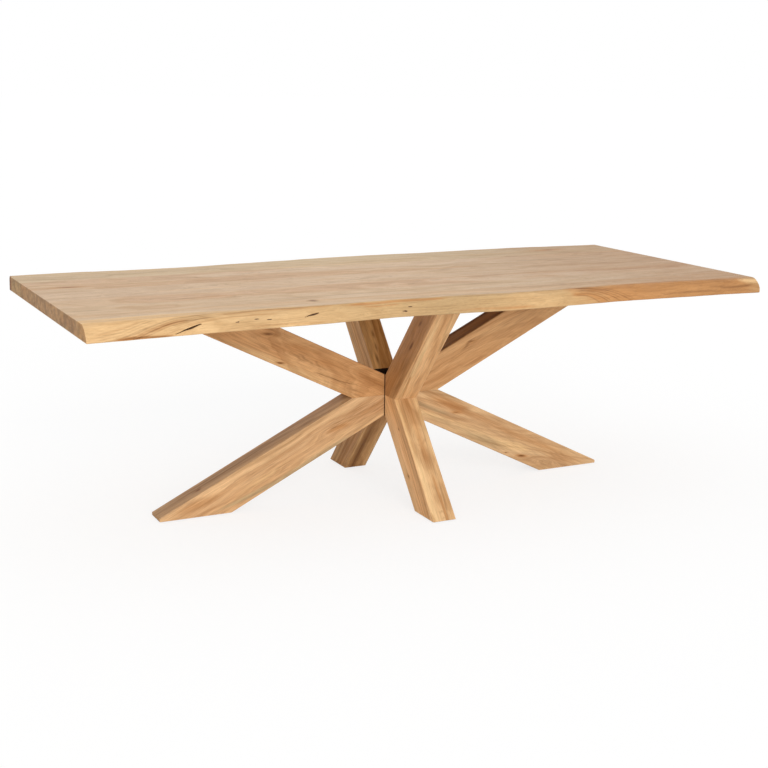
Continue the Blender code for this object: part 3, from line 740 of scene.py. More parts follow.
def volume_sign(points, quads, caps):
    """Six times the volume inside the faces, below nought where they point in.

    It is the sum of the triple products of each face's corners.
    """
    a, b, c, d = (points[quads[:, k]] for k in range(4))
    total = (a * (np.cross(b, c) + np.cross(c, d))).sum()
    for cap in caps:
        fan = points[cap]
        total += (np.cross(fan[1:-1], fan[2:]) * fan[0]).sum()
    return total


def add_loft(name, rings, start_loops, stop_loops, grain, values, end_share=1.0):
    """A closed surface through like rings, with the timber's directions on each vertex.

    The surface at (station, place round the ring) is rings[station, place]. The caps' faces are
    marked as end grain. Values is a dictionary of further numbers for the vertices.
    """
    stations, around, _ = rings.shape
    quads, caps = face_loops(stations, around, start_loops, stop_loops)
    points = rings.reshape(-1, 3)
    if volume_sign(points, quads, caps) < 0:
        quads = quads[:, ::-1]
        caps = [cap[::-1] for cap in caps]
    mesh = bpy.data.meshes.new(name)
    mesh.from_pydata(points.tolist(), [], quads.tolist() + [cap.tolist() for cap in caps])
    mesh.shade_smooth()
    mesh.set_sharp_from_angle(angle=SHARP_ANGLE)
    attribute = mesh.attributes.new("grain", "FLOAT_VECTOR", "POINT")
    attribute.data.foreach_set("vector", grain.reshape(-1).astype(np.float32))
    for key, value in values.items():
        attribute = mesh.attributes.new(key, "FLOAT", "POINT")
        attribute.data.foreach_set("value", value.reshape(-1).astype(np.float32))
    ends = np.zeros(len(mesh.polygons), np.float32)
    ends[len(quads):] = end_share
    mesh.attributes.new("end", "FLOAT", "FACE").data.foreach_set("value", ends)
    piece = bpy.data.objects.new(name, mesh)
    bpy.context.scene.collection.objects.link(piece)
    return piece


class Graph:
    """The nodes of a material or a world: each method adds a node and hands back an output of it."""

    def __init__(self, tree):
        self.tree = tree

    def feed(self, socket, value):
        """Link a socket to another node's output, or set its constant value."""
        if isinstance(value, bpy.types.NodeSocket):
            self.tree.links.new(value, socket)
        elif socket.type == "RGBA":
            socket.default_value = (*value[:3], 1.0)
        else:
            socket.default_value = value

    def add(self, kind, output, sockets, **settings):
        """Any node, with its settings, and values or outputs for its sockets."""
        node = self.tree.nodes.new(kind)
        for key, value in settings.items():
            setattr(node, key, value)
        for key, value in sockets.items():
            self.feed(node.inputs[key], value)
        return node.outputs[output]

    def math(self, operation, a, b=0.0, c=0.0, clamp=False):
        """One step of arithmetic on numbers."""
        return self.add("ShaderNodeMath", 0, {0: a, 1: b, 2: c}, operation=operation, use_clamp=clamp)

    def vector(self, operation, a, b):
        """One step of arithmetic on vectors or colours."""
        second = "Scale" if operation == "SCALE" else 1
        output = "Value" if operation == "DISTANCE" else "Vector"
        return self.add("ShaderNodeVectorMath", output, {0: a, second: b}, operation=operation)

    def attribute(self, name, output="Fac"):
        """What the mesh's vertices or faces carry under a name."""
        return self.add("ShaderNodeAttribute", output, {}, attribute_name=name)

    def place(self):
        """The part's own coordinates, for pieces whose mesh comes from the part."""
        return self.add("ShaderNodeTexCoord", "Object", {})

    def noise(self, place, scale, detail=2.0, rough=0.5, output="Fac"):
        """Cloudy noise, which changes as fast in each direction as the scale says."""
        sockets = {"Vector": self.vector("MULTIPLY", place, scale)}
        sockets.update({"Scale": 1.0, "Detail": detail, "Roughness": rough})
        return self.add("ShaderNodeTexNoise", output, sockets, noise_dimensions="3D")

    def bands(self, place, detail, rough):
        """Noise along one line."""
        sockets = {"W": place, "Scale": 1.0, "Detail": detail, "Roughness": rough}
        return self.add("ShaderNodeTexNoise", "Fac", sockets, noise_dimensions="1D")

    def ramp(self, value, low, high, to_low=0.0, to_high=1.0):
        """A smooth step from one level to another, between two values."""
        sockets = {"Value": value, "From Min": low, "From Max": high}
        sockets.update({"To Min": to_low, "To Max": to_high})
        return self.add("ShaderNodeMapRange", "Result", sockets, interpolation_type="SMOOTHSTEP")

    def mix(self, share, a, b):
        """A colour between two, by the share of the second."""
        return self.add("ShaderNodeMix", 2, {0: share, 6: a, 7: b}, data_type="RGBA")

    def shade(self, colour, level):
        """A colour made lighter or darker by a level round 1."""
        return self.vector("SCALE", colour, level)

    def bump(self, height, distance, strength):
        """A normal that makes small heights show in the light."""
        sockets = {"Height": height, "Distance": distance, "Strength": strength}
        return self.add("ShaderNodeBump", "Normal", sockets)


def new_material(name, recipe, *inputs):
    """A material: the recipe adds nodes to its graph and gives the values of its shader's sockets."""
    material = bpy.data.materials.new(name)
    material.use_nodes = True
    g = Graph(material.node_tree)
    shader = material.node_tree.nodes["Principled BSDF"]
    for key, value in recipe(g, *inputs).items():
        g.feed(shader.inputs[key], value)
    return material


def scaled(tone, factors):
    """A tone with its three parts scaled."""
    return tuple(part * factor for part, factor in zip(tone, factors))


def ring_count(g, wood, timber_place, grain):
    """How many rings lie between a point and the pith, from which the piece drifts along its length."""
    place = grain
    for scale, reach in SWAYS:
        swing = g.vector("SUBTRACT", g.noise(grain, scale, 2.0, output="Color"), (0.5, 0.5, 0.5))
        place = g.vector("ADD", place, g.vector("SCALE", swing, reach))
    start = (SEED_STEP * wood.seed, 0.0, 0.0)
    along = g.add("ShaderNodeSeparateXYZ", "X", {0: g.vector("SUBTRACT", timber_place, start)})
    drift = g.vector("SCALE", (0.0, *wood.drift), along)
    place = g.vector("MULTIPLY", g.vector("ADD", place, drift), (0.0, 1.0, 1.0))
    pith = (0.0, MM * wood.pith[0], MM * wood.pith[1])
    radius = g.math("ADD", g.vector("DISTANCE", place, pith), g.attribute("warp"))
    return g.math("DIVIDE", radius, MM * wood.ring)


def ring_veins(g, rings, grain):
    """Dark lines where a noise along the rings crosses its middle, broken up along the grain."""
    vein = 0.0
    for pace, start, width in RING_VEINS:
        level = g.bands(g.math("MULTIPLY_ADD", rings, pace, start), 1.0, 0.6)
        near = g.ramp(g.math("ABSOLUTE", g.math("SUBTRACT", level, 0.5)), 0.0, width, 1.0, 0.0)
        vein = g.math("MAXIMUM", vein, near)
    return g.math("MULTIPLY", vein, g.ramp(g.noise(grain, VEIN_BREAKS), 0.48, 0.66))


def solid_wood(g, wood, tones):
    """Timber: growth rings round a wandering pith, fibres, pores and the vertices' marks."""
    timber_place = g.attribute("grain", "Vector")
    grain = g.vector("MULTIPLY", timber_place, (wood.pace, 1.0, 1.0))
    rings = ring_count(g, wood, timber_place, grain)

    def banding(pace, start, low, high, detail=2.0):
        """Bands that follow the rings: the pace sets how many, the start which."""
        return g.ramp(g.bands(g.math("MULTIPLY_ADD", rings, pace, start), detail, 0.55), low, high)

    broad = banding(*BROAD_BANDS)
    middling = banding(*MIDDLING_BANDS)
    late = g.math("POWER", g.math("FRACT", rings), 3.0)
    line = g.math("MULTIPLY", late, banding(*LATE_BANDS))
    fibre = g.noise(grain, FIBRES, 4.0, 0.65)
    streak = g.noise(grain, STREAKS, 2.0, 0.6)
    fine = g.noise(grain, FINE_FIBRES, 2.0, 0.6)
    pores = g.ramp(g.noise(grain, PORES, 1.0), 0.60, 0.74)
    cloud = g.noise(grain, CLOUDS, 3.0, 0.6)

    def around(value, spread):
        """A noise value made to swing round nought."""
        return g.math("MULTIPLY", g.math("SUBTRACT", value, 0.5), spread)

    depth = g.math("MULTIPLY", line, 0.20 * wood.contrast)
    for value, spread in ((broad, 0.40), (middling, 0.36), (fibre, 0.80), (cloud, 0.80), (streak, 1.15)):
        depth = g.math("ADD", depth, around(value, spread * wood.contrast))
    depth = g.math("ADD", depth, 0.46, clamp=True)

    def timber(tone):
        """A tone as the rings show it, from light early wood to dark late wood."""
        return g.mix(depth, scaled(tone, EARLY_WOOD), scaled(tone, LATE_WOOD))

    colour = timber(wood.tone)
    shades = {kind: timber(getattr(tones, kind)) for kind in ZONES}
    for kind, zone in ZONES.items():
        colour = g.mix(g.math("MULTIPLY", banding(*zone), getattr(wood, kind)), colour, shades[kind])
    veined = g.math("MULTIPLY", ring_veins(g, rings, grain), 0.34)
    colour = g.mix(veined, colour, scaled(wood.tone, VEIN_WOOD))
    edge = g.math("ADD", g.attribute("sap"), around(broad, 0.4))
    colour = g.mix(g.ramp(edge, 0.30, 0.70), colour, timber(tones.sap))
    for kind, low, high in PATCHES:
        shown = g.math("ADD", g.attribute(kind), around(fibre, 0.5))
        colour = g.mix(g.ramp(shown, low, high), colour, shades[kind])
    lightest, darkest = 1.0 + 0.16 * wood.contrast, 1.0 - 0.18 * wood.contrast
    colour = g.shade(colour, g.ramp(fine, 0.2, 0.8, darkest, lightest))
    # The tone marks: lighter or darker wood, and painted light and shade, such as the top's fall from left
    # to right and whole faces of the base.
    colour = g.shade(colour, g.math("ADD", g.attribute("tone"), 1.0))
    colour = g.mix(g.math("MULTIPLY", pores, 0.40), colour, g.shade(colour, 0.55))
    end = g.attribute("end")
    speckle = g.ramp(g.noise(grain, END_SPECKS, 2.0, 0.6), 0.3, 0.7, 0.80, 1.08)
    blotch = g.ramp(g.noise(grain, END_BLOTCHES, 3.0), 0.36, 0.64, 0.74, 1.18)
    cut = g.shade(g.vector("MULTIPLY", colour, CUT_END), g.math("MULTIPLY", speckle, blotch))
    colour = g.mix(end, colour, cut)
    dark = g.math("MULTIPLY", g.attribute("dark"), g.ramp(fibre, 0.25, 0.75, 0.5, 1.15))
    colour = g.mix(g.math("MINIMUM", dark, 0.90), colour, tones.dark)
    # Cracks: partly darker wood, partly painted shade in the slits.
    colour = g.mix(g.ramp(g.attribute("crack"), 0.15, 0.55), colour, tones.crack)
    colour = g.mix(g.math("MULTIPLY", g.attribute("wear"), 0.20), colour, scaled(wood.tone, WORN_WOOD))
    rough = g.math("ADD", g.ramp(fibre, 0.2, 0.8, 0.46, 0.60), g.math("MULTIPLY", end, 0.12))
    height = g.math("SUBTRACT", g.math("MULTIPLY", fibre, 0.5), pores)
    height = g.math("SUBTRACT", height, g.math("MULTIPLY", line, 0.3))
    return {
        "Base Color": colour,
        "Roughness": rough,
        "Specular IOR Level": 0.30,
        "Normal": g.bump(height, 0.0003, 0.6),
    }


def coated_steel(g, tones):
    """Black powder coat: a fine orange-peel surface with small changes of gloss."""
    cloud = g.noise(g.place(), (30.0, 30.0, 30.0), 3.0)
    peel = g.noise(g.place(), (900.0, 900.0, 900.0))
    return {
        # The brown tint in the steel tone is painted reflection of warm light off the wood.
        "Base Color": g.mix(g.ramp(cloud, 0.3, 0.7), tones.steel, scaled(tones.steel, (1.6, 1.6, 1.6))),
        "Roughness": g.ramp(cloud, 0.3, 0.7, 0.48, 0.62),
        "Specular IOR Level": 0.12,
        "Normal": g.bump(peel, 0.0002, 0.5),
    }


def zinc_plate(g, tones):
    """Zinc plating: grey metal with soft spangles and fine scratches."""
    spangle = g.noise(g.place(), (260.0, 260.0, 260.0))
    scratch = g.noise(g.place(), (150.0, 1500.0, 1500.0))
    return {
        "Base Color": g.mix(g.ramp(spangle, 0.3, 0.7), tones.zinc, scaled(tones.zinc, (0.80, 0.80, 0.82))),
        "Metallic": 1.0,
        "Roughness": g.ramp(scratch, 0.3, 0.7, 0.26, 0.44),
        "Normal": g.bump(scratch, 0.0001, 0.4),
    }


def pressed_felt(g, tones):
    """Brown felt: matted fibres in two tones."""
    mat = g.noise(g.place(), (1300.0, 1300.0, 1300.0), 3.0, 0.7)
    cloud = g.noise(g.place(), (90.0, 90.0, 90.0))
    colour = g.mix(g.ramp(cloud, 0.3, 0.7), tones.felt, scaled(tones.felt, (1.35, 1.30, 1.25)))
    return {
        "Base Color": g.shade(colour, g.ramp(mat, 0.3, 0.7, 0.75, 1.2)),
        "Roughness": g.ramp(mat, 0.3, 0.7, 0.88, 0.98),
        "Normal": g.bump(mat, 0.0006, 0.7),
    }


def bare_wood(g, tones):
    """Bare straight-grained wood of the hidden tongues and tenons."""
    fibre = g.noise(g.place(), (6.0, 240.0, 240.0), 3.0, 0.6)
    pores = g.ramp(g.noise(g.place(), (40.0, 900.0, 900.0), 1.0), 0.58, 0.72)
    light, deep = scaled(tones.joint, (1.1, 1.1, 1.1)), scaled(tones.joint, (0.78, 0.72, 0.64))
    colour = g.mix(g.ramp(fibre, 0.25, 0.75), light, deep)
    return {
        "Base Color": g.mix(g.math("MULTIPLY", pores, 0.4), colour, scaled(tones.joint, (0.5, 0.44, 0.36))),
        "Roughness": g.ramp(fibre, 0.3, 0.7, 0.62, 0.78),
        "Normal": g.bump(fibre, 0.0003, 0.5),
    }


# Pieces of the part that keep their own mesh, by the start of their names, with their finishes
FITTINGS = (
    (("hub_tube", "arm_plate_"), "black_powder_coat", coated_steel),
    (("hub_screw_", "plate_screw_", "top_screw_"), "zinc_plate", zinc_plate),
    (("foot_pad_",), "pressed_felt", pressed_felt),
    (("tongue_", "tenon_"), "bare_joint_wood", bare_wood),
)


def finish_piece(piece, material, node):
    """Paint a new piece, set it on the frame and let it stand for its CAD node."""
    piece.data.materials.append(material)
    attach(piece, "root")
    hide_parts(node)


def eased_places(count, ease, crowd=()):
    """Stations along a board between its eased ends, closer together round its cracks."""
    low, high = -TOP_LENGTH / 2 + ease, TOP_LENGTH / 2 - ease
    even = np.linspace(low, high, count * 4)
    density = np.ones(len(even))
    for spot, width, gain in crowd:
        density += gain * np.exp(-((even - spot) / width) ** 2)
    total = np.concatenate(([0.0], np.cumsum((density[1:] + density[:-1]) / 2)))
    return np.interp(np.linspace(0, total[-1], count), total, even)


def with_eased_ends(rings, ease):
    """Add two rings at each end of a board, whose top and bottom arrises are rounded over."""
    first, last = [], []
    for inset, out in ((1.0, ease), (HALF_TURN, ease * (1.0 - HALF_TURN))):
        for found, ring, side in ((first, rings[0], -1), (last, rings[-1], 1)):
            new = ring.copy()
            new[:, 0] += side * out
            new[:, 2] = np.clip(new[:, 2], UNDERSIDE + ease * inset, TABLE_HEIGHT - ease * inset)
            found.append(new)
    return np.concatenate((np.array(first), rings, np.array(last[::-1])))


def board_caps(across, edge):
    """Loops that close a board's end: strips from bottom to top, and the outline of its edge."""
    around = 2 * (across + 1) + edge
    loops = [(k, k + 1, around - 2 - k, around - 1 - k) for k in range(across)]
    if edge:
        loops.append(tuple(range(across, across + edge + 2)))
    return loops


def board_values(rings, grain, name, sap=0.0, crack=0.0):
    """The numbers that a board's vertices carry. The top is painted lighter at the left and darker to the
    right, as painted light and shade, and turns redder to the right.
    """
    found = marks_at(grain, BOARD_MARKS[name], BOARD_WOODS[name].seed)
    flat = np.zeros(rings.shape[:-1])
    from_end = TOP_LENGTH / 2 - np.abs(rings[..., 0])
    found["wear"] = END_WEAR * (1 - step_up(from_end, 0.0, END_WEAR_REACH))
    # Painted light and shade: the tone falls from light at the left to dark at the right. The added red is
    # redder wood.
    right = step_up(rings[..., 0], *TOP_TURN)
    found["tone"] += LEFT_PAINTED_LIGHT + RIGHT_PAINTED_SHADE * right
    found["red"] += RIGHT_RED * right
    found["sap"] = flat + sap
    found["crack"] = flat + crack
    return found


def board_grain(rings, seed, middle):
    """Timber directions of a board: along it, across from its middle, and up from its underside."""
    return rings - np.array((-SEED_STEP * seed, middle, UNDERSIDE))


def finish_board(name, rings, grid, grain, values, tones):
    """Close a board's surface, paint it and set it in its place."""
    caps = board_caps(grid.across, grid.foot + grid.curve)
    piece = add_loft("board_" + name, rings, caps, caps, grain, values)
    material = new_material("wood_board_" + name, solid_wood, BOARD_WOODS[name], tones)
    finish_piece(piece, material, "top_board_" + name)


def inner_board(name, low, high, sizes, tones):
    """A square board: at (x, place) the surface is a rectangle's outline, carried along X."""
    grid = INNER_GRID
    places = eased_places(grid.along, sizes.end_ease)
    side = np.linspace(low + GAP / 2, high - GAP / 2, grid.across + 1)
    rings = np.empty((len(places), 2 * len(side), 3))
    rings[..., 0] = places[:, None]
    rings[..., 1] = np.concatenate((side, side[::-1]))
    rings[..., 2] = np.repeat((UNDERSIDE, TABLE_HEIGHT), len(side))
    rings = with_eased_ends(rings, sizes.end_ease)
    grain = board_grain(rings, BOARD_WOODS[name].seed, (low + high) / 2)
    finish_board(name, rings, grid, grain, board_values(rings, grain, name), tones)


def veins_at(along, aside, veins, found, share=1.0):
    """Add soft lines to the marks: each is a bell across a smooth path, side by side with its like."""
    for vein in veins:
        run, rise = MM * np.array(vein.run), MM * np.array(vein.rise)
        path = sum(np.interp(along + shift, run, rise) for shift in (-VEIN_BLEND, 0.0, VEIN_BLEND)) / 3
        fade = VEIN_FADE * (run[-1] - run[0])
        ends = step_up(along, run[0], run[0] + fade) * (1 - step_up(along, run[-1] - fade, run[-1]))
        for k in range(vein.copies):
            shift = (k - (vein.copies - 1) / 2) * MM * vein.step
            bell = np.exp(-((aside - path - shift) / (MM * vein.half_width)) ** 2)
            found[vein.kind] += share * ends * vein.strength * (1 - SECOND_LOSS * (k % 2)) * bell


def cracks_at(x, face, cracks):
    """How deep cracks cut at each point of a live edge, and how dark they are, from 0 to 1.

    Each is a bell across a tilted line, which wavers a little and is widest past its middle.
    """
    depth = np.zeros(face.shape)
    dark = np.zeros(face.shape)
    for crack in cracks:
        tilt = math.radians(crack.tilt)
        off, rise = x - MM * crack.along, face - MM * crack.rise
        half_width = MM * crack.half_width
        along = off * math.cos(tilt) + rise * math.sin(tilt)
        aside = rise * math.cos(tilt) - off * math.sin(tilt)
        aside = aside + CRACK_WAVER[0] * half_width * np.sin(CRACK_WAVER[1] * along)
        run = along / (MM * crack.half_length)
        taper = np.clip(1 - run * run, 0, 1) ** CRACK_TAPER
        taper = taper * (CRACK_START + (1 - CRACK_START) * step_up(run, *CRACK_WIDENS))
        pit = np.exp(-(aside / np.maximum(half_width * taper, 1e-5)) ** 2) * (np.abs(run) < 1)
        depth += MM * crack.depth * pit
        dark = np.maximum(dark, pit)
    return depth, dark


def ended(values):
    """Values of a board's stations, with those of the first and last for the eased ends."""
    return np.concatenate((values[:1], values[:1], values, values[-1:], values[-1:]))


def front_tints(values, sap, x):
    """Colour the front edge's sapwood along the table, in stretches and in spots."""
    for kind, strength, starts, stops, loss in FRONT_STRETCHES:
        values[kind] += strength * sap * step_up(x, *starts) * (1 - loss * step_up(x, *stops))
    for kind, strength, spot, reach in FRONT_SPOTS:
        values[kind] += strength * sap * np.exp(-((x - spot) / reach) ** 2)


def edge_form(edge, sizes, x, wane, power):
    """The face of a live edge at (x, place up it): height, lean, length up the face, push and cracks.

    Above an upright foot the edge leans in by the wane along a superellipse. Lumps and ridges push
    it out and cracks press it in. The last value is how dark the cracks are.
    """
    grid = edge.grid
    share = np.arange(1, grid.curve + 1)[None, :] / grid.curve
    over = 1 - np.cos(math.pi / 2 * share) ** (2 / power)
    up = np.sin(math.pi / 2 * share) ** (2 / power)
    foot = UNDERSIDE + sizes.edge_foot
    rise = np.linspace(UNDERSIDE + sizes.end_ease, foot, grid.foot)[None, :]
    rise = np.broadcast_to(rise, (len(x), grid.foot))
    z = np.concatenate((rise, foot + (TABLE_HEIGHT - foot) * up), axis=1)
    lean_in = np.concatenate((0 * rise, wane * over), axis=1)
    steps = np.hypot(np.diff(z, axis=1), np.diff(lean_in, axis=1))
    face = np.cumsum(np.concatenate((z[:, :1] - UNDERSIDE, steps), axis=1), axis=1)
    full = np.clip(np.sin(math.pi * face / face[:, -1:]), 0, 1) ** FULLNESS
    flow = RIDGE_CLIMB * x + RIDGE_SWAY[0] * np.sin(RIDGE_SWAY[1] * x) - face
    ridged = full * step_up(np.sin(RIDGE_PATCHES[0] * x + RIDGE_PATCHES[1]), *RIDGE_FADE)
    lumps = ripples(x, face, LUMP_WAVES, BOARD_WOODS[edge.name].seed, LUMP_STRETCH)
    depth, dark = cracks_at(x, face, edge.cracks)
    push = sizes.lump * edge.lumps * lumps * full - depth
    push = push + sizes.ridge * edge.lumps * np.sin(2 * math.pi * flow / RIDGE_STEP) * ridged
    return z, lean_in, face, push, dark


def live_board(edge, sizes, tones):
    """A board with one live edge: at (x, place) a flat underside, the edge's face and a flat top.

    The edge's foot lies in from its widest line by the dip, and its arris by the wane as well.
    """
    grid, widest, inward, seam = edge.grid, edge.widest, edge.inward, edge.seam
    seed = BOARD_WOODS[edge.name].seed
    crowd = [(MM * c.along, max(CROWD_REACH, MM * c.half_length), CROWD_GAIN) for c in edge.cracks]
    x = eased_places(grid.along, sizes.end_ease, crowd)
    places = (x + TOP_LENGTH / 2) / TOP_LENGTH * (len(edge.curves[0]) - 1)
    dip, wane, power, sap_reach = (smooth_through(curve, places)[:, None] for curve in edge.curves)
    x = x[:, None]
    swell = sizes.lump * edge.lumps
    foot_swell = FOOT_LUMPS * swell * step_up(dip, *FOOT_LUMPS_IN)
    dip = dip + foot_swell * ripples(x, 0 * x, DIP_WAVES, seed)
    wane = wane + ARRIS_LUMPS * swell * ripples(x, 0 * x, WANE_WAVES, seed)
    z, lean_in, face, push, dark = edge_form(edge, sizes, x, wane, power)

    low = slice(0, grid.across + 1)
    side = slice(grid.across + 1, grid.across + 1 + grid.foot + grid.curve)
    high = slice(side.stop, None)
    flat = np.linspace(0, 1, grid.across + 1)[None, :]
    rings = np.empty((len(x), side.stop + grid.across + 1, 3))
    rings[..., 0] = x
    rings[:, low, 1] = seam + (widest + inward * (dip + sizes.end_ease) - seam) * flat
    rings[:, low, 2] = UNDERSIDE
    rings[:, side, 1] = widest + inward * (dip + lean_in - push)
    rings[:, side, 2] = z
    arris = widest + inward * (dip + wane)
    rings[:, high, 1] = seam + (arris - seam) * flat[:, ::-1] * TOP_SHARE
    rings[:, high, 2] = TABLE_HEIGHT
    rings = with_eased_ends(rings, sizes.end_ease)

    grain = board_grain(rings, seed, (widest + seam) / 2)
    cracked = np.zeros(rings.shape[:-1])
    cracked[:, side] = ended(dark)
    inset = inward * (rings[..., 1] - widest) - ended(dip)
    inset = inset + SAP_SWAY * ripples(rings[..., 0], rings[..., 1], SAP_WAVES, stretch=SAP_STRETCH)
    sap = 1 - step_up(inset - ended(sap_reach), *SAP_FADE)
    values = board_values(rings, grain, edge.name, sap, cracked)
    on_edge = {kind: np.zeros(face.shape) for kind in KINDS}
    veins_at(x, face, edge.veins, on_edge)
    for kind in KINDS:
        values[kind][:, side] += ended(on_edge[kind])
    if edge.name == "front":
        front_tints(values, sap, rings[..., 0])
    finish_board(edge.name, rings, grid, grain, values, tones)


def beam_profile(fold, nose, depth, arris):
    """Points round a beam: depth share from the inner to the outer face, and place across.

    A rectangle with rounded corners, whose long sides hold points on the folds of both ends.
    """
    half = BEAM_WIDTH / 2
    inset = arris / depth
    turn = np.linspace(0, math.pi / 2, CORNER_POINTS)
    faces = np.linspace(-half + arris, half - arris, FACE_POINTS)[1:-1]
    stops = zip((inset, fold, nose), (fold, nose, 1 - inset), SIDE_POINTS)
    sides = np.concatenate([np.linspace(low, high, count)[1:] for low, high, count in stops])[:-1]

    def corner(share, across, start):
        """A quarter turn round a corner's centre."""
        return share + inset * np.cos(turn + start), across + arris * np.sin(turn + start)

    stretches = (
        corner(inset, arris - half, math.pi),
        (sides, np.full(len(sides), -half)),
        corner(1 - inset, arris - half, -math.pi / 2),
        (np.ones(len(faces)), faces),
        corner(1 - inset, half - arris, 0.0),
        (sides[::-1], np.full(len(sides), half)),
        corner(inset, half - arris, math.pi / 2),
        (np.zeros(len(faces)), faces[::-1]),
    )
    share, across = (np.concatenate(parts) for parts in zip(*stretches))
    fold_at = CORNER_POINTS + SIDE_POINTS[0] - 2
    nose_at = fold_at + SIDE_POINTS[1] - 1
    last = len(share) - len(faces) - 1
    return share, across, ((fold_at, last - fold_at), (nose_at, last - nose_at))


def split_loop(around, low, high):
    """Two loops of a ring, split between two of its places."""
    return tuple(range(high, around)) + tuple(range(0, low + 1)), tuple(range(low, high + 1))


def beam_values(name, grain, share, across, depth):
    """The numbers that a beam's vertices carry: its marks, the veins of each face, and worn arrises."""
    wood = BEAM_WOODS[name]
    values = marks_at(grain, BEAM_MARKS[name], wood.seed)
    along, deep, wide = grain[..., 0] - SEED_STEP * wood.seed, grain[..., 1], grain[..., 2]
    half = BEAM_WIDTH / 2
    sides = {
        "left": (deep, 1 - step_up(half - across, *FACE_FADE)),
        "right": (deep, 1 - step_up(half + across, *FACE_FADE)),
        "outer": (wide, 1 - step_up((1 - share) * depth, *FACE_FADE)),
        "inner": (wide, 1 - step_up(share * depth, *INNER_FADE)),
    }
    for face, (place, on_face) in sides.items():
        veins_at(along, place, BEAM_VEINS.get((name, face), ()), values, on_face)
    from_side = half - np.abs(across)
    from_face = (0.5 - np.abs(share - 0.5)) * depth
    near = np.minimum(from_side, from_face) < WORN_REACH
    flat = np.zeros(along.shape)
    values["wear"] = flat + near * (1 - step_up(np.maximum(from_side, from_face), *WORN_FADE))
    values["sap"] = flat
    values["crack"] = flat
    return values


def beam(kind, unit, sizes, tones):
    """A leg or an arm: at (station, place) a rounded rectangle, carried along the slope.

    Each line of the beam starts on the hub face or on the level mitre, whichever comes later, and
    stops on the upright nose or on the level foot or seat, whichever comes first.
    """
    name = kind + "_" + unit.name
    rise, way = (FOOT_RISE, -1) if kind == "leg" else (SEAT_RISE, 1)
    slope = (MIDDLE - unit.nose) / (unit.reach - unit.notch)
    lean = math.atan(slope)
    thick = unit.notch + HUB_HALF_HEIGHT / slope - HUB_FACE
    depth = thick * math.sin(lean)
    fold = HUB_HALF_HEIGHT / (slope * thick)
    nose = (unit.reach - HUB_FACE - (rise - HUB_HALF_HEIGHT) / slope) / thick
    nose = min(nose, 1 - NOSE_ROOM * sizes.arris / depth)
    share, across, (start_fold, stop_fold) = beam_profile(fold, nose, depth, sizes.arris)
    start = np.maximum(GAP / 2, HUB_HALF_HEIGHT - slope * share * thick)
    stop = np.minimum(rise, HUB_HALF_HEIGHT + slope * (unit.reach - HUB_FACE - share * thick))
    stations = int((rise / math.sin(lean)) / BEAM_STEP)
    t = np.linspace(0, 1, stations)[:, None]
    level = start + (stop - start) * t
    out = HUB_FACE + (level - HUB_HALF_HEIGHT) / slope + share * thick
    wide = np.broadcast_to(across, out.shape)
    local = np.stack((out, wide, MIDDLE + way * level), axis=-1)
    turn = np.array(Matrix.Rotation(unit.turn, 3, "Z"))
    rings = local @ turn.T + np.array((0.0, BASE_OFFSET, 0.0))
    wood = BEAM_WOODS[name]
    deep = np.broadcast_to((share - 0.5) * depth, out.shape)
    grain = np.stack((level / math.sin(lean) + SEED_STEP * wood.seed, deep, wide), axis=-1)
    values = beam_values(name, grain, share, across, depth)
    starts, stops = split_loop(len(share), *start_fold), split_loop(len(share), *stop_fold)
    piece = add_loft(name + "_wood", rings, starts, stops, grain, values, BEAM_END)
    finish_piece(piece, new_material("wood_" + name, solid_wood, wood, tones), name)


class TABLE_OT_live_boards(Operator):
    """Make the front and back boards with their live edges"""

    bl_idname = "table.live_boards"
    bl_label = "Live-edge boards"

    def execute(self, context):
        for edge in LIVE_EDGES:
            live_board(edge, context.scene.table_sizes, context.scene.table_tones)
        return {"FINISHED"}


class TABLE_OT_inner_boards(Operator):
    """Make the square boards between the live-edge ones"""

    bl_idname = "table.inner_boards"
    bl_label = "Inner boards"

    def execute(self, context):
        sizes, tones = context.scene.table_sizes, context.scene.table_tones
        for k in range(1, len(BOARD_NAMES) - 1):
            inner_board(BOARD_NAMES[k], SEAMS[k], SEAMS[k + 1], sizes, tones)
        return {"FINISHED"}


class TABLE_OT_legs(Operator):
    """Make the four legs"""

    bl_idname = "table.legs"
    bl_label = "Legs"

    def execute(self, context):
        for unit in UNITS:
            beam("leg", unit, context.scene.table_sizes, context.scene.table_tones)
        return {"FINISHED"}


class TABLE_OT_arms(Operator):
    """Make the four arms"""

    bl_idname = "table.arms"
    bl_label = "Arms"

    def execute(self, context):
        for unit in UNITS:
            beam("arm", unit, context.scene.table_sizes, context.scene.table_tones)
        return {"FINISHED"}


class TABLE_OT_fittings(Operator):
    """Finish the steel, screws, joints and pads that come from the part"""

    bl_idname = "table.fittings"
    bl_label = "Fittings"

    def execute(self, context):
        for starts, name, recipe in FITTINGS:
            finish = new_material(name, recipe, context.scene.table_tones)
            pieces = [piece for node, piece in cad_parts.items() if node.startswith(starts)]
            if not pieces:
                raise RuntimeError("The part has no piece to finish as " + name)
            for piece in pieces:
                piece.data.materials.clear()
                piece.data.materials.append(finish)
        return {"FINISHED"}


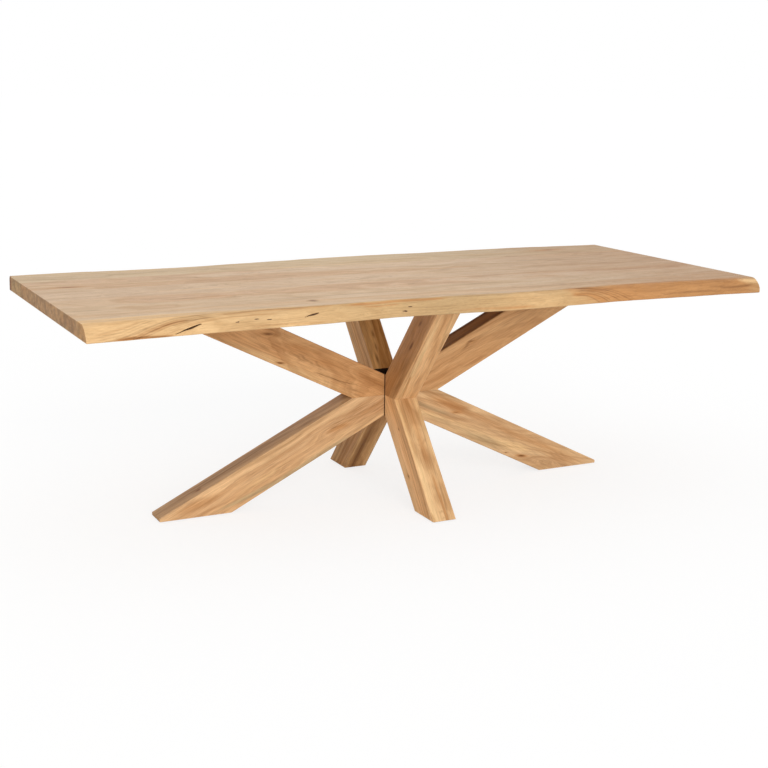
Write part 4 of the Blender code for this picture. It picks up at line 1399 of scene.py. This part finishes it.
class TABLE_OT_stage(Operator):
    """Set the floor, the light and the camera"""

    bl_idname = "table.stage"
    bl_label = "Stage"

    def execute(self, context):
        stage = context.scene.table_stage
        self.add_floor(context, stage)
        self.add_light(context, stage)
        self.add_camera(context, stage)
        context.scene.view_settings.view_transform = "Standard"
        return {"FINISHED"}

    def add_floor(self, context, stage):
        """A wide pale floor, which the camera sees lighter than it is lit."""
        mesh = bpy.data.meshes.new("floor")
        reach = stage.floor_reach
        corners = [(-reach, -reach, 0), (reach, -reach, 0), (reach, reach, 0), (-reach, reach, 0)]
        mesh.from_pydata(corners, [], [(0, 1, 2, 3)])
        floor = bpy.data.objects.new("floor", mesh)
        context.scene.collection.objects.link(floor)
        material = bpy.data.materials.new("pale_floor")
        material.use_nodes = True
        nodes = material.node_tree.nodes
        nodes.remove(nodes["Principled BSDF"])
        g = Graph(material.node_tree)
        lit = g.add("ShaderNodeBsdfDiffuse", 0, {"Color": stage.floor_tone})
        glow = g.add("ShaderNodeEmission", 0, {"Strength": stage.floor_glow})
        share = g.math("MULTIPLY", g.add("ShaderNodeLightPath", "Is Camera Ray", {}), stage.floor_share)
        mixed = g.add("ShaderNodeMixShader", 0, {0: share, 1: lit, 2: glow})
        g.feed(nodes["Material Output"].inputs["Surface"], mixed)
        mesh.materials.append(material)

    def add_light(self, context, stage):
        """Soft light all round, white to the eye and to reflections, and one wide lamp in front."""
        world = bpy.data.worlds.new("studio")
        world.use_nodes = True
        g = Graph(world.node_tree)
        back = world.node_tree.nodes["Background"]
        seen = [g.add("ShaderNodeLightPath", ray, {}) for ray in ("Is Camera Ray", "Is Glossy Ray")]
        sockets = {"Value": g.math("MAXIMUM", *seen), "To Min": stage.sky, "To Max": 1.0}
        g.feed(back.inputs["Strength"], g.add("ShaderNodeMapRange", "Result", sockets))
        g.feed(back.inputs["Color"], (1.0, 1.0, 1.0))
        context.scene.world = world
        data = bpy.data.lights.new("front_lamp", "SUN")
        data.energy = stage.lamp
        data.angle = stage.lamp_spread
        lamp = bpy.data.objects.new("front_lamp", data)
        towards = Vector((
            math.sin(stage.lamp_turn) * math.cos(stage.lamp_rise),
            -math.cos(stage.lamp_turn) * math.cos(stage.lamp_rise),
            math.sin(stage.lamp_rise),
        ))
        lamp.rotation_euler = towards.to_track_quat("Z", "Y").to_euler()
        context.scene.collection.objects.link(lamp)

    def add_camera(self, context, stage):
        """The camera at the photo's place, turned by yaw, pitch and roll."""
        data = bpy.data.cameras.new("photo_camera")
        data.lens = stage.lens
        data.clip_end = FAR_CLIP
        camera = bpy.data.objects.new("photo_camera", data)
        turn = Matrix.Rotation(-stage.yaw, 4, "Z") @ Matrix.Rotation(math.pi / 2 - stage.pitch, 4, "X")
        turn = turn @ Matrix.Rotation(stage.roll, 4, "Z")
        camera.matrix_world = Matrix.Translation(Vector(stage.place)) @ turn
        context.scene.collection.objects.link(camera)
        context.scene.camera = camera


class TABLE_PT_panel(Panel):
    """The table's pieces and settings in the sidebar"""

    bl_idname = "TABLE_PT_panel"
    bl_label = "Dining table"
    bl_space_type = "VIEW_3D"
    bl_region_type = "UI"
    bl_category = "Table"

    def draw(self, context):
        for operator in STEPS:
            self.layout.operator(operator.bl_idname)
        for group in (context.scene.table_sizes, context.scene.table_tones, context.scene.table_stage):
            box = self.layout.box()
            for key in group.__annotations__:
                box.prop(group, key)


STEPS = (
    TABLE_OT_stage,
    TABLE_OT_live_boards,
    TABLE_OT_inner_boards,
    TABLE_OT_legs,
    TABLE_OT_arms,
    TABLE_OT_fittings,
)
GROUPS = (TableSizes, TableTones, TableStage)


def register():
    for item in (*GROUPS, *STEPS, TABLE_PT_panel):
        bpy.utils.register_class(item)
    bpy.types.Scene.table_sizes = PointerProperty(type=TableSizes)
    bpy.types.Scene.table_tones = PointerProperty(type=TableTones)
    bpy.types.Scene.table_stage = PointerProperty(type=TableStage)


def unregister():
    for key in ("table_sizes", "table_tones", "table_stage"):
        delattr(bpy.types.Scene, key)
    for item in reversed((*GROUPS, *STEPS, TABLE_PT_panel)):
        bpy.utils.unregister_class(item)


def main():
    """Build every piece in order."""
    register()
    bpy.ops.table.stage()
    bpy.ops.table.live_boards()
    bpy.ops.table.inner_boards()
    bpy.ops.table.legs()
    bpy.ops.table.arms()
    bpy.ops.table.fittings()


if __name__ == "__main__":
    main()
